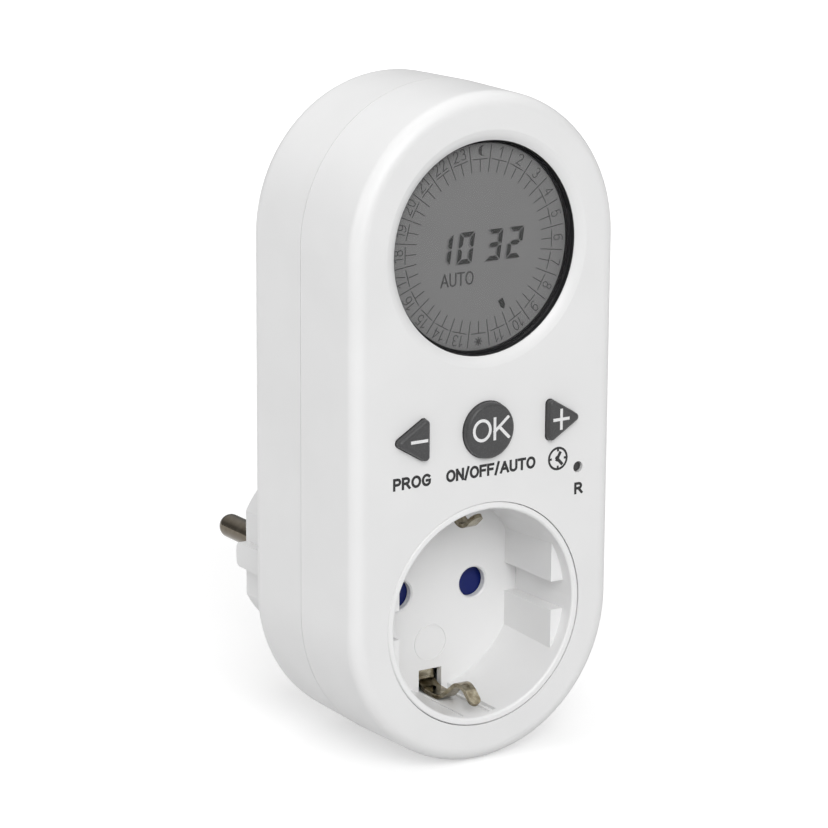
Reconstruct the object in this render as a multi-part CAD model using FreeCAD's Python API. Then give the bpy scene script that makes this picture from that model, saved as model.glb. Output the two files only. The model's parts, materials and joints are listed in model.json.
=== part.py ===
"""Plug-in digital socket timer with a round display, three keys and an earthed socket.

The origin is the centre of the plug's end face, on the common axis of plug and socket.
+Z is up and the front faces -Y. Depths are counted from the front face, in millimetres.
"""

import FreeCAD, Part
import math
import os

V = FreeCAD.Vector

# Housing
body_half_width = 28.5
display_height = 67.7
body_depth = 36.1
seam_depth = 17.55
side_wall = 2.0
front_wall = 2.0
rear_wall = 2.2
draft = 0.019
front_round = 2.6
rear_round = 3.7
inner_round = 1.5
seam_groove_half = 0.07
seam_groove_depth = 0.35
lap_depth = 1.6
lap_wall = 1.0
lap_gap = 0.1

# Clearances
seat_gap = 0.1
slide_gap = 0.15
running_gap = 0.06
join_overlap = 0.5
cut_margin = 0.01
thread_gap = 0.05

# Plug body and pins
plug_height = 22.4
plug_radius = 18.5
plug_flat = 16.5
plug_wall = 2.0
plug_end_wall = 3.0
plug_end_round = 1.4
rib_half_width = 2.45
rib_corner = 1.0
rib_end_step = 0.6
pin_pitch = 19.0
pin_radius = 2.4
pin_length = 19.0
pin_shank_radius = 2.0
pin_collar_radius = 3.2
pin_collar_length = 1.2
pin_tail_radius = 1.3
pin_tail_length = 6.3
plug_channel_half_width = 3.2
plug_channel_floor = 16.2
plug_channel_start = 3.0
plug_cavity_earth_half = 15.0
support_post_radius = 3.2

# Socket insert
socket_mouth_radius = 19.7
socket_floor_radius = 19.3
socket_depth = 17.8
socket_floor = 1.5
insert_radius = 21.0
insert_lip_round = 0.45
insert_edge_chamfer = 0.2
insert_flange_radius = 22.4
insert_flange_depth = 6.1
insert_flange_thickness = 0.8
ring_gap = 0.14
pin_hole_radius = 2.9
pin_hole_chamfer = 0.3
long_hole_inner_x = -7.2
floor_ring_radius = 3.6
floor_ring_width = 0.25
floor_ring_height = 0.15
floor_ring_z = -10.2
guide_flat = 16.8
guide_start = 2.8
groove_half_width = 2.75
earth_slot_half_width = 2.55
earth_slot_inner = 15.4
channel_half_width = 3.9
channel_floor = 19.9
channel_start = 1.6
ridge_offset = 2.85
ridge_width = 0.5
ridge_height = 0.45

# Shutter and its retainer
shutter_gap = 0.2
shutter_radius = 13.4
shutter_thickness = 2.4
shutter_turn = 40.0
shutter_hole_radius = 3.1
shutter_ramp_depth = 0.7
shutter_ramp_half_width = 3.2
shutter_recess_radius = 6.0
shutter_recess_depth = 0.9
shutter_hub_radius = 2.8
pivot_radius = 1.6
stop_radius = 1.0
stop_reach = 11.6
retainer_rim = 1.0
retainer_rim_gap = 0.4
retainer_plate = 1.6
retainer_ear_radius = 2.2
retainer_ear_x = 17.9
retainer_ear_z = 6.0
retainer_ear_thickness = 2.0
spring_wire_radius = 0.25
spring_coil_radius = 3.9
spring_leg_reach = 5.5
spring_hook_reach = 8.2
spring_notch_half = 0.4
spring_half_opening = 35.0
spring_peg_radius = 0.5
spring_peg_reach = 5.1
spring_peg_angle = 8.0
spring_peg_gap = 0.2

# Socket contacts and their block
block_half_width = 14.0
block_half_height = 7.0
block_length = 16.2
block_rear_wall = 1.5
block_corner = 1.5
chamber_half_width = 3.6
chamber_half_height = 5.6
contact_width = 4.6
contact_thickness = 0.6
contact_throat = 2.0
contact_mouth = 3.6
contact_foot = 3.0
contact_mouth_step = 1.0
contact_throat_step = 5.0
contact_foot_margin = 0.2
contact_tail_width = 3.0
contact_tail_drop = 4.0
contact_tail_length = 3.6
contact_bend = 1.0

# Earth bracket and the plug's earth strips
earth_width = 3.7
earth_thickness = 0.8
earth_bend = 1.0
earth_gap = 0.2
clip_end_width = 2.4
clip_end_depth = 3.2
clip_end_reach = 17.35
clip_hump_depth = 6.5
clip_hump_reach = 14.5
clip_low_depth = 12.4
clip_low_reach = 19.35
clip_heel_depth = 17.4
clip_heel_reach = 19.15
clip_root_reach = 17.9
clip_bend = 3.0
clip_taper_start = 14.0
clip_taper_end = 9.5
arm_reach = 14.4
arm_shift_start = 8.0
arm_shift_length = 3.0
strip_width = 4.4
strip_reach = 16.7
strip_end_margin = 2.0
strip_lap_reach = 8.0

# Display
display_opening_radius = 19.5
display_bevel_width = 2.0
display_bevel_depth = 1.0
bevel_middle_width = 0.46
bevel_middle_depth = 0.36
display_lip = 0.15
bezel_collar_radius = 20.6
bezel_outer_radius = 22.7
collar_gap = 0.05
window_radius = 19.3
window_set_back = 0.7
window_thickness = 0.7
window_ledge = 0.5
window_aperture_radius = 18.8
lcd_half_flat = 20.2
polarizer_thickness = 0.2
glass_thickness = 0.7
reflector_thickness = 0.3
lcd_ledge = 2.6
zebra_half_length = 8.0
zebra_thickness = 2.0
zebra_edge = 0.2
cushion_rim = 3.0

# Keys
key_raise = 1.1
key_proud = 1.45
key_edge_round = 0.65
ok_key_radius = 5.2
arrow_apex = 19.6
arrow_base = 13.0
arrow_half_height = 3.78
arrow_corner = 0.8
key_flange = 0.9
key_flange_thickness = 0.85
key_stem_radius = 2.9
key_stem_length = 1.4
key_travel = 0.8
arrow_stem_x = 15.4

# Keypad mat
mat_half_length = 21.0
mat_half_height = 6.2
mat_thickness = 0.8
mat_corner = 2.0
dome_base_radius = 4.3
dome_skin = 0.5
dome_base_skin = 0.3
dome_foot_radius = 1.5
dome_foot_margin = 0.3

# Reset button
reset_x = 20.45
reset_drop = 9.85
reset_hole_radius = 1.05
reset_plunger_radius = 0.9
reset_recess = 0.6
reset_travel = 0.3
reset_switch_width = 3.6
reset_switch_height = 4.2
reset_switch_thickness = 1.6
reset_collar_radius = 1.3
reset_collar_thickness = 0.5
reset_collar_entry = 0.1
reset_well_margin = 0.4
reset_guide_radius = 2.1
reset_guide_length = 1.2

# Boards
board_thickness = 1.6
control_board_depth = 7.0
control_board_radius = 22.3
power_board_radius = 21.4
board_socket_gap = 0.3
rear_post_length = 1.9

# Screws and bosses
case_screw_x = 21.8
case_screw_heights = (17.0, 45.0)
case_boss_radius = 2.4
case_boss_length = 20.0
case_tube_radius = 3.0
case_screw_radius = 1.1
case_screw_length = 11.0
case_head_radius = 2.0
case_head_height = 1.5
case_head_wall = 3.4
case_head_recess = 2.2
pilot_margin = 1.0
case_board_notch = 0.4
board_screw_radius = 0.9
board_screw_length = 5.0
board_head_radius = 1.9
board_head_height = 1.3
board_post_radius = 2.1
upper_post_x = 19.3
upper_post_drop = 16.9
lower_post_x = 12.0
lower_post_rise = 2.7
power_post_x = 16.6
power_post_rise = 7.8
top_post_rise = 17.7
power_screw_length = 2.6
head_round_share = 0.45
cross_depth_share = 0.55
cross_arm_share = 0.55
cross_slot_share = 0.12

# Parts on the power board
relay_x = -9.0
relay_drop = 9.9
relay_size = (12.8, 29.0, 15.3)
relay_round = 0.6
relay_leg_x = 3.8
relay_leg_z = 11.5
relay_middle_leg_z = 4.0
film_capacitor_x = 6.6
film_capacitor_drop = 12.9
film_capacitor_size = (8.5, 18.0, 14.6)
film_capacitor_round = 0.8
film_capacitor_leg_z = 7.5
large_can_size = (5.0, 12.5)
large_can_x = 12.6
large_can_rise = 6.7
small_can_size = (3.2, 8.0)
small_can_x = 14.6
small_can_rise = 5.1
can_leg_x = 1.25
crimp_offset = 0.15
crimp_radius = 0.45
crimp_rise = 1.6
varistor_x = 17.2
varistor_drop = 10.9
varistor_radius = 4.6
varistor_thickness = 3.4
varistor_stand = 1.2
varistor_round = 1.19
varistor_leg_x = 0.9
varistor_leg_z = 2.5
diode_count = 4
diode_pitch = 3.0
diode_x = 0.6
diode_radius = 1.1
diode_length = 4.4
diode_drop = 0.1
diode_lead_run = 1.6
part_stand = 0.2
resistor_x = -10.5
resistor_rise = 1.6
resistor_radius = 1.9
resistor_length = 9.5
resistor_waist_radius = 1.63
resistor_cap = 2.0
resistor_lead_run = 1.8
transistor_x = 7.2
transistor_rise = 0.7
transistor_radius = 2.3
transistor_height = 4.6
transistor_flat = 1.0
transistor_stand = 1.5
transistor_leg_x = 1.27
lead_radius = 0.35
lead_hole_gap = 0.1
lead_overhang = 0.8
link_gap = 5.85
link_pitch = 2.54
link_count = 6
link_pin_radius = 0.32
link_spacer_thickness = 2.5
link_spacer_half_height = 1.25

# Parts on the control board
battery_x = 8.6
battery_rise = 2.7
battery_radius = 7.75
battery_height = 5.6
battery_tab_width = 3.0
battery_tab_thickness = 0.3
battery_tab_reach = 1.4
battery_tab_inner = 2.0
battery_round = 0.8
crystal_x = -13.6
crystal_rise = 2.1
crystal_radius = 1.5
crystal_length = 8.0
crystal_wire_x = 0.6
crystal_wire_run = 2.5
crystal_wire_radius = 0.25
blob_drop = 3.9
blob_radius = 6.0
blob_height = 1.8

# Internal leads
lead_wire_radius = 1.1
lead_bend = 3.0
lead_rise = 11.4
lead_tail_run = 3.6
lead_run_stand = 3.4
supply_lead_rise = 4.5
return_lead_rise = 2.3
return_lead_x = 5.0
return_lead_run = 4.4
return_lead_bend = 1.95

# Heights and places that follow from the sizes above
key_height = (display_height - bezel_outer_radius + insert_flange_radius) / 2 + key_raise
reset_z = key_height - reset_drop
board_bottom = insert_flange_radius + board_socket_gap
upper_post_z = display_height - upper_post_drop
lower_post_z = board_bottom + lower_post_rise
power_post_z = board_bottom + power_post_rise
relay_place = (relay_x, display_height - relay_drop)
film_capacitor_place = (film_capacitor_x, display_height - film_capacitor_drop)
large_can_place = (large_can_x, display_height + large_can_rise)
small_can_place = (small_can_x, key_height + small_can_rise)
varistor_place = (varistor_x, display_height - varistor_drop)
resistor_place = (resistor_x, key_height + resistor_rise)
transistor_place = (transistor_x, display_height + transistor_rise)
battery_place = (battery_x, key_height + battery_rise)
crystal_place = (crystal_x, key_height + crystal_rise)
blob_place = (0.0, display_height - blob_drop)
link_height = relay_place[1] + relay_size[1] / 2 + link_gap
supply_lead_height = board_bottom + supply_lead_rise
return_lead_height = board_bottom + return_lead_rise

# Depths that follow from the sizes above
front_y = -(plug_height + body_depth)
plug_end_depth = body_depth + plug_height
pin_x = pin_pitch / 2
floor_back = socket_depth + socket_floor
shutter_front = floor_back + shutter_gap
shutter_back = shutter_front + shutter_thickness
retainer_front = shutter_back + shutter_gap
retainer_back = retainer_front + retainer_plate
retainer_radius = shutter_radius + retainer_rim_gap + retainer_rim
block_back = retainer_back + block_length
rear_inner = body_depth - rear_wall
power_board_depth = rear_inner - rear_post_length - board_thickness
lead_run_depth = power_board_depth - lead_run_stand
power_post_front = power_board_depth + board_thickness
control_board_back = control_board_depth + board_thickness
display_lip_back = display_bevel_depth + display_lip
bezel_seat = front_wall + seat_gap
window_front = display_lip_back + window_set_back
window_back = window_front + window_thickness
ledge_back = window_back + window_ledge
polarizer_front = ledge_back + seat_gap
glass_front = polarizer_front + polarizer_thickness
glass_middle = glass_front + glass_thickness
glass_back = glass_middle + glass_thickness
reflector_back = glass_back + reflector_thickness
key_flange_front = front_wall + seat_gap
key_stem_front = key_flange_front + key_flange_thickness
key_back = key_stem_front + key_stem_length
mat_front = control_board_depth - mat_thickness
reset_switch_front = control_board_depth - reset_switch_thickness
case_head_seat = case_boss_length + seat_gap + case_head_wall


def at(x, depth, z):
    """A point by its depth behind the front face."""
    return V(x, front_y + depth, z)


def rod(x, z, radius, near, far):
    """A round bar along Y between two depths."""
    return Part.makeCylinder(radius, far - near, at(x, near, z), V(0, 1, 0))


def cone(x, z, near_radius, far_radius, near, far):
    """A cone frustum along Y between two depths."""
    return Part.makeCone(near_radius, far_radius, far - near, at(x, near, z), V(0, 1, 0))


def block(x_span, z_span, near, far):
    """A box between two depths."""
    corner = at(x_span[0], near, z_span[0])
    return Part.makeBox(x_span[1] - x_span[0], far - near, z_span[1] - z_span[0], corner)


def centred(half_x, half_z, near, far, x=0.0, z=0.0):
    """A box between two depths, centred on x and z."""
    return block((x - half_x, x + half_x), (z - half_z, z + half_z), near, far)


def joined(shapes):
    """One solid from shapes that touch or overlap."""
    return shapes[0].fuse(shapes[1:]).removeSplitter() if len(shapes) > 1 else shapes[0]


def face_of(steps, place):
    """A face from an outline: two numbers are a corner, four an arc's middle and end."""
    edges = []
    here = steps[0]
    for step in list(steps[1:]) + [steps[0]]:
        end = step[-2:]
        if len(step) == 4:
            edges.append(Part.Arc(place(*here), place(*step[:2]), place(*end)).toShape())
        elif (V(*here, 0) - V(*end, 0)).Length > 1e-6:
            edges.append(Part.LineSegment(place(*here), place(*end)).toShape())
        here = end
    return Part.Face(Part.Wire(edges))


def on_radius(radius, depth):
    """Place for outlines given as radius and depth."""
    return at(radius, depth, 0)


def quarter(centre, radius, start_angle, end_angle):
    """Middle and end of an arc about a centre, as one outline step."""
    middle = math.radians((start_angle + end_angle) / 2)
    end = math.radians(end_angle)
    u, v = centre
    return (u + radius * math.cos(middle), v + radius * math.sin(middle),
            u + radius * math.cos(end), v + radius * math.sin(end))


def turned(steps, x=0.0, z=0.0):
    """A ring or disc turned about the Y axis through x and z."""
    solid = face_of(steps, on_radius).revolve(at(0, 0, 0), V(0, 1, 0), 360)
    solid.translate(V(x, 0, z))
    return solid


def round_the_stadium(steps):
    """Carry a half profile round the housing's two straight sides and two round ends."""
    face = face_of(steps, on_radius)
    lower = face.revolve(at(0, 0, 0), V(0, 1, 0), 180)
    raised = face.copy()
    raised.translate(V(0, 0, display_height))
    upper = raised.revolve(at(0, 0, display_height), V(0, 1, 0), -180)
    right = face.extrude(V(0, 0, display_height))
    left = right.mirror(V(0, 0, 0), V(1, 0, 0))
    return joined([lower, upper, right, left])


def outer_half_width(depth):
    """The housing's half width, which narrows away from the seam."""
    return body_half_width - draft * abs(seam_depth - depth)


def hull(centres, radius, near, far):
    """A prism round circles of one radius, with its centres given counterclockwise."""
    steps = []
    count = len(centres)
    normals = []
    for i in range(count):
        along = V(*centres[(i + 1) % count], 0) - V(*centres[i], 0)
        along.normalize()
        normals.append(V(along.y, -along.x, 0))
    for i in range(count):
        centre = V(*centres[i], 0)
        before = centre + normals[i - 1] * radius
        after = centre + normals[i] * radius
        bisector = normals[i - 1] + normals[i]
        bisector.normalize()
        middle = centre + bisector * radius
        steps.append((before.x, before.y))
        steps.append((middle.x, middle.y, after.x, after.y))
    face = face_of(steps, lambda x, z: at(x, near, z))
    return face.extrude(V(0, far - near, 0))


def octagon(half_flat, near, far, x=0.0, z=0.0):
    """An eight-sided plate with level top and bottom edges."""
    corner = half_flat / math.cos(math.pi / 8)
    points = []
    for i in range(8):
        angle = math.pi / 8 + i * math.pi / 4
        points.append((x + corner * math.cos(angle), z + corner * math.sin(angle)))
    face = face_of(points, lambda u, v: at(u, near, v))
    return face.extrude(V(0, far - near, 0))


def bent_path(points, bends):
    """Straight runs joined by tangent arcs, with one radius for all or one for each corner."""
    edges = []
    here = points[0]
    if not isinstance(bends, list):
        bends = [bends] * (len(points) - 2)
    for before, corner, after, bend in zip(points, points[1:], points[2:], bends):
        inward = (before - corner).normalize()
        outward = (after - corner).normalize()
        half_angle = inward.getAngle(outward) / 2
        trim = bend / math.tan(half_angle)
        start = corner + inward * trim
        end = corner + outward * trim
        bisector = (inward + outward).normalize()
        middle = corner + bisector * (bend / math.sin(half_angle) - bend)
        edges.append(Part.LineSegment(here, start).toShape())
        edges.append(Part.Arc(start, middle, end).toShape())
        here = end
    edges.append(Part.LineSegment(here, points[-1]).toShape())
    return Part.Wire(edges)


def strip(points, bend, width, thickness):
    """A flat strip, as wide in X as stated, bent along points in a plane of constant X."""
    path = bent_path(points, bend)
    along = (points[1] - points[0]).normalize()
    side = V(1, 0, 0)
    up = along.cross(side)
    corners = []
    for across, lift in ((-1, -1), (1, -1), (1, 1), (-1, 1)):
        corners.append(points[0] + side * (across * width / 2) + up * (lift * thickness / 2))
    section = Part.makePolygon(corners + [corners[0]])
    return path.makePipeShell([section], True, False)


def wire_lead(points, radius, bend):
    """A round lead bent along its points."""
    path = bent_path(points, bend)
    section = Part.Wire([Part.makeCircle(radius, points[0], points[1] - points[0])])
    return path.makePipeShell([section], True, False)


def mirrored_z(shape):
    """The same shape on the other side of the plug's level plane."""
    return shape.mirror(V(0, 0, 0), V(0, 0, 1))


def save(name, shape):
    """Write one node."""
    shape.exportStep("parts/" + name + ".step")


def front_shell():
    """The front half of the housing: a drafted wall round a flat face, grooved at the seam."""
    rim_inner = body_half_width - lap_wall
    wall_inner = outer_half_width(seam_depth - lap_depth) - side_wall
    corner_inner = outer_half_width(front_wall + inner_round) - side_wall
    edge_centre = (outer_half_width(front_round) - front_round, front_round)
    inner_centre = (corner_inner - inner_round, front_wall + inner_round)
    return round_the_stadium([
        (0, 0),
        (edge_centre[0], 0),
        quarter(edge_centre, front_round, -90, 0),
        (outer_half_width(seam_depth - seam_groove_half), seam_depth - seam_groove_half),
        (body_half_width - seam_groove_depth, seam_depth - seam_groove_half),
        (body_half_width - seam_groove_depth, seam_depth),
        (rim_inner, seam_depth),
        (rim_inner, seam_depth - lap_depth),
        (wall_inner, seam_depth - lap_depth),
        (corner_inner, front_wall + inner_round),
        quarter(inner_centre, inner_round, 0, -90),
        (0, front_wall),
    ])


def rear_shell():
    """The rear half of the housing, with a tongue that enters the front half."""
    tongue_outer = body_half_width - lap_wall - lap_gap
    tongue_inner = body_half_width - side_wall
    tongue_end = seam_depth - lap_depth + lap_gap
    edge_depth = body_depth - rear_round
    edge_centre = (outer_half_width(edge_depth) - rear_round, edge_depth)
    corner_depth = rear_inner - inner_round
    corner_inner = outer_half_width(corner_depth) - side_wall
    inner_centre = (corner_inner - inner_round, corner_depth)
    return round_the_stadium([
        (0, body_depth),
        (edge_centre[0], body_depth),
        quarter(edge_centre, rear_round, 90, 0),
        (outer_half_width(seam_depth + seam_groove_half), seam_depth + seam_groove_half),
        (body_half_width - seam_groove_depth, seam_depth + seam_groove_half),
        (body_half_width - seam_groove_depth, seam_depth),
        (tongue_outer, seam_depth),
        (tongue_outer, tongue_end),
        (tongue_inner, tongue_end),
        (tongue_inner, seam_depth),
        (corner_inner, corner_depth),
        quarter(inner_centre, inner_round, 0, 90),
        (0, rear_inner),
    ])


def display_cut():
    """The display's opening: a soft dished bevel, a thin lip and a seat behind it."""
    outer = display_opening_radius + display_bevel_width
    seat = bezel_collar_radius + seat_gap
    middle = (display_opening_radius + display_bevel_width * bevel_middle_width,
              display_bevel_depth * bevel_middle_depth)
    return turned([
        (0, -1),
        (outer, -1),
        (outer, 0),
        (middle[0], middle[1], display_opening_radius, display_bevel_depth),
        (display_opening_radius, display_lip_back),
        (seat, display_lip_back),
        (seat, front_wall + 1),
        (0, front_wall + 1),
    ], 0, display_height)


def arrow_centres(side):
    """Corner centres of an arrow key that points away from the middle, counterclockwise."""
    apex = (side * (arrow_apex - arrow_corner), key_height)
    base_x = side * (arrow_base + arrow_corner)
    reach = side * (arrow_half_height - arrow_corner)
    return [apex, (base_x, key_height + reach), (base_x, key_height - reach)]


def arrow_prism(side, grow, near, far):
    """The arrow key's outline, grown all round, between two depths."""
    return hull(arrow_centres(side), arrow_corner + grow, near, far)


def control_post_places():
    """Centres of the control board's posts."""
    places = []
    for side in (-1, 1):
        places.append((side * upper_post_x, upper_post_z))
        places.append((side * lower_post_x, lower_post_z))
    return places


def power_post_places():
    """Centres of the power board's posts."""
    return [(-power_post_x, power_post_z), (power_post_x, power_post_z),
            (0.0, display_height + top_post_rise)]


def case_screw_places():
    """Centres of the housing's screws."""
    places = []
    for height in case_screw_heights:
        places.append((-case_screw_x, height))
        places.append((case_screw_x, height))
    return places


def front_cover():
    """Front half of the housing with its openings, collars, bosses and board posts."""
    shell = front_shell()
    collar_outer = insert_flange_radius
    additions = [rod(0, 0, collar_outer, front_wall - join_overlap, insert_flange_depth - seat_gap)]
    for x, z in case_screw_places():
        additions.append(rod(x, z, case_boss_radius, front_wall - join_overlap, case_boss_length))
    for x, z in control_post_places():
        additions.append(rod(x, z, board_post_radius, front_wall - join_overlap, control_board_depth))
    additions.append(rod(reset_x, reset_z, reset_guide_radius, front_wall - join_overlap,
                         front_wall + reset_guide_length))
    cover = shell.fuse(additions)
    cuts = [rod(0, 0, insert_radius + ring_gap, -1, insert_flange_depth + 1)]
    cuts.append(display_cut())
    cuts.append(rod(0, key_height, ok_key_radius + slide_gap, -1, front_wall + 1))
    for side in (-1, 1):
        cuts.append(arrow_prism(side, slide_gap, -1, front_wall + 1))
    cuts.append(rod(reset_x, reset_z, reset_hole_radius, -1,
                    front_wall + reset_guide_length + 1))
    pilot_front = case_head_seat - case_screw_length - pilot_margin
    for x, z in case_screw_places():
        cuts.append(rod(x, z, case_screw_radius + thread_gap, pilot_front,
                        case_boss_length + 1))
    post_pilot = control_board_back - board_screw_length - seat_gap
    for x, z in control_post_places():
        cuts.append(rod(x, z, board_screw_radius + thread_gap, post_pilot,
                        control_board_depth + 1))
    return cover.cut(cuts).removeSplitter()


def plug_prism(radius, flat, near, far):
    """The plug's round section between its two side flats."""
    return rod(0, 0, radius, near, far).common(centred(flat, radius + 1, near, far))


def plug_body():
    """The plug's outside: rounded end, side flats, guide ribs and earth channels."""
    base = rear_inner
    body = plug_prism(plug_radius, plug_flat, base, plug_end_depth)
    end_edges = []
    for edge in body.Edges:
        if all(abs(v.Point.y) < 1e-6 for v in edge.Vertexes):
            end_edges.append(edge)
    body = body.makeFillet(plug_end_round, end_edges)
    corner_z = rib_half_width - rib_corner
    corner_depth = plug_end_depth - rib_end_step - rib_corner
    rib_face = face_of([
        (-rib_half_width, base),
        (rib_half_width, base),
        (rib_half_width, corner_depth),
        quarter((corner_z, corner_depth), rib_corner, 0, 90),
        (-corner_z, corner_depth + rib_corner),
        quarter((-corner_z, corner_depth), rib_corner, 90, 180),
    ], lambda z, depth: at(-plug_radius - 1, depth, z))
    rib = rib_face.extrude(V(2 * plug_radius + 2, 0, 0))
    rib = rib.common(rod(0, 0, plug_radius, base, plug_end_depth))
    rib = rib.cut(centred(plug_flat - join_overlap, plug_radius, base - 1, plug_end_depth + 1))
    body = body.fuse(rib.Solids)
    channel = block((-plug_channel_half_width, plug_channel_half_width),
                    (plug_channel_floor, plug_radius + 1),
                    body_depth + plug_channel_start, plug_end_depth + 1)
    return body.cut([channel, mirrored_z(channel)])


def plug_cavity():
    """The plug's hollow, flattened where the earth channels are."""
    radius = plug_radius - plug_wall
    flat = plug_flat - plug_wall
    end = plug_end_depth - plug_end_wall
    hollow = plug_prism(radius, flat, rear_inner - 1, end)
    return hollow.common(centred(flat, plug_cavity_earth_half, rear_inner - 1, end))


def rear_cover():
    """Rear half of the housing with the plug body, screw tubes and board posts."""
    shell = rear_shell().fuse(plug_body())
    cover = shell.cut(plug_cavity())
    tube_front = case_boss_length + seat_gap
    additions = []
    for x, z in case_screw_places():
        additions.append(rod(x, z, case_tube_radius, tube_front, rear_inner + join_overlap))
    for x, z in power_post_places():
        additions.append(rod(x, z, board_post_radius, power_post_front, rear_inner + join_overlap))
    support_front = block_back + earth_thickness + seat_gap
    additions.append(rod(0, 0, support_post_radius, support_front,
                         plug_end_depth - plug_end_wall + join_overlap))
    cover = cover.fuse(additions)
    cuts = []
    for x, z in case_screw_places():
        cuts.append(rod(x, z, case_head_recess, case_head_seat, body_depth + 1))
        cuts.append(rod(x, z, case_screw_radius + slide_gap, tube_front - 1, body_depth))
    for x, z in power_post_places():
        pilot_end = power_board_depth + board_thickness + power_screw_length / 2
        cuts.append(rod(x, z, board_screw_radius + thread_gap, power_post_front - 1, pilot_end))
    for side in (-1, 1):
        cuts.append(rod(side * pin_x, 0, pin_shank_radius, block_back,
                        plug_end_depth + 1))
    slot = earth_strip_slot()
    cuts.append(slot)
    cuts.append(mirrored_z(slot))
    return cover.cut(cuts).removeSplitter()


def earth_strip_slot():
    """The slot that lets an earth strip out of the plug's hollow into its channel."""
    half = strip_width / 2 + seat_gap
    start = block_back + earth_thickness - seat_gap
    return block((-half, half), (plug_cavity_earth_half - 1, plug_channel_floor + 1),
                 start, start + 3 * earth_thickness)


def insert_body():
    """The socket well with its lip, rear flange and floor."""
    flange_back = insert_flange_depth + insert_flange_thickness
    lip_centre = (socket_mouth_radius + insert_lip_round, insert_lip_round)
    return turned([
        (0, socket_depth),
        (socket_floor_radius, socket_depth),
        (socket_mouth_radius, insert_lip_round),
        quarter(lip_centre, insert_lip_round, 180, 270),
        (insert_radius - insert_edge_chamfer, 0),
        (insert_radius, insert_edge_chamfer),
        (insert_radius, insert_flange_depth),
        (insert_flange_radius, insert_flange_depth),
        (insert_flange_radius, flange_back),
        (insert_radius, flange_back),
        (insert_radius, floor_back),
        (0, floor_back),
    ])


def guide_blocks():
    """The two chord-shaped guides on each side of the socket well."""
    disc = rod(0, 0, insert_radius - join_overlap, guide_start, socket_depth + join_overlap)
    inner = centred(guide_flat, insert_radius, guide_start - 1, socket_depth + 1)
    groove = centred(insert_radius, groove_half_width, guide_start - 1, socket_depth + 1)
    return disc.cut([inner, groove]).Solids


def earth_channel():
    """The flat channel and the floor slot for an earth clip, with two long ridges."""
    channel = block((-channel_half_width, channel_half_width),
                    (socket_floor_radius - channel_half_width, channel_floor), channel_start,
                    socket_depth)
    ridges = []
    for side in (-1, 1):
        x = side * ridge_offset
        ridges.append(block((x - ridge_width / 2, x + ridge_width / 2),
                            (channel_floor - ridge_height, channel_floor + join_overlap),
                            channel_start - 1, socket_depth + 1))
    slot = block((-earth_slot_half_width, earth_slot_half_width),
                 (earth_slot_inner, channel_floor), socket_depth - 1, floor_back + 1)
    return channel.cut(ridges).fuse(slot)


def socket_insert():
    """The socket well: guides, pin holes, earth channels and screw holes for the retainer."""
    ring_front = socket_depth - floor_ring_height
    ring = rod(0, floor_ring_z, floor_ring_radius, ring_front, socket_depth + join_overlap)
    ring = ring.cut(rod(0, floor_ring_z, floor_ring_radius - floor_ring_width, ring_front,
                        socket_depth))
    body = insert_body().fuse(guide_blocks() + [ring])
    channel = earth_channel()
    cuts = [channel, mirrored_z(channel)]
    for x in (-pin_x, long_hole_inner_x, pin_x):
        cuts.append(rod(x, 0, pin_hole_radius, socket_depth - 1, floor_back + 1))
        cuts.append(cone(x, 0, pin_hole_radius + pin_hole_chamfer, pin_hole_radius,
                         socket_depth, socket_depth + pin_hole_chamfer))
    cuts.append(block((-pin_x, long_hole_inner_x), (-pin_hole_radius, pin_hole_radius),
                      socket_depth - 1, floor_back + 1))
    for x, z in retainer_screw_places():
        cuts.append(rod(x, z, board_screw_radius + thread_gap,
                        floor_back - board_screw_length, floor_back + 1))
    return body.cut(cuts).removeSplitter()


def retainer_screw_places():
    """Centres of the retainer's two screws."""
    return ((retainer_ear_x, retainer_ear_z), (-retainer_ear_x, -retainer_ear_z))


def on_shutter(reach, angle):
    """A point of the shutter's plane, with the angle from +X towards +Z."""
    return reach * math.cos(math.radians(angle)), reach * math.sin(math.radians(angle))


def shutter():
    """The turning disc that covers the pin holes until both pins press on its ramps."""
    disc = rod(0, 0, shutter_radius, shutter_front, shutter_back)
    cuts = [rod(0, 0, pivot_radius + running_gap, shutter_front - 1, shutter_back + 1)]
    recess = rod(0, 0, shutter_recess_radius, shutter_back - shutter_recess_depth,
                 shutter_back + 1)
    hub = rod(0, 0, shutter_hub_radius, shutter_front, shutter_back + 1)
    cuts.append(recess.cut(hub))
    for start in (shutter_turn, 180 + shutter_turn):
        x, z = on_shutter(pin_x, start)
        cuts.append(rod(x, z, shutter_hole_radius, shutter_front - 1, shutter_back + 1))
        cuts.append(shutter_ramp(start - shutter_turn))
    cuts.append(stop_slot())
    notch = centred(spring_notch_half, spring_hook_reach / 2, shutter_back - shutter_recess_depth,
                    shutter_back + 1, 0, spring_hook_reach / 2 + spring_notch_half)
    notch = notch.cut(rod(0, 0, shutter_hub_radius + 1, shutter_front, shutter_back + 2))
    notch.rotate(at(0, 0, 0), V(0, 1, 0), 180 - spring_half_opening)
    cuts.append(notch)
    return disc.cut(cuts).removeSplitter()


def shutter_ramp(angle):
    """A sloping pocket under a pin hole, deepest towards the shutter's own hole."""
    wedge_face = face_of([
        (-pin_radius, -cut_margin),
        (pin_radius, -cut_margin),
        (pin_radius, shutter_ramp_depth),
    ], lambda along, down: at(pin_x - shutter_ramp_half_width, shutter_front + down, along))
    wedge = wedge_face.extrude(V(2 * shutter_ramp_half_width, 0, 0))
    wedge.rotate(at(0, 0, 0), V(0, 1, 0), -angle)
    return wedge


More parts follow.
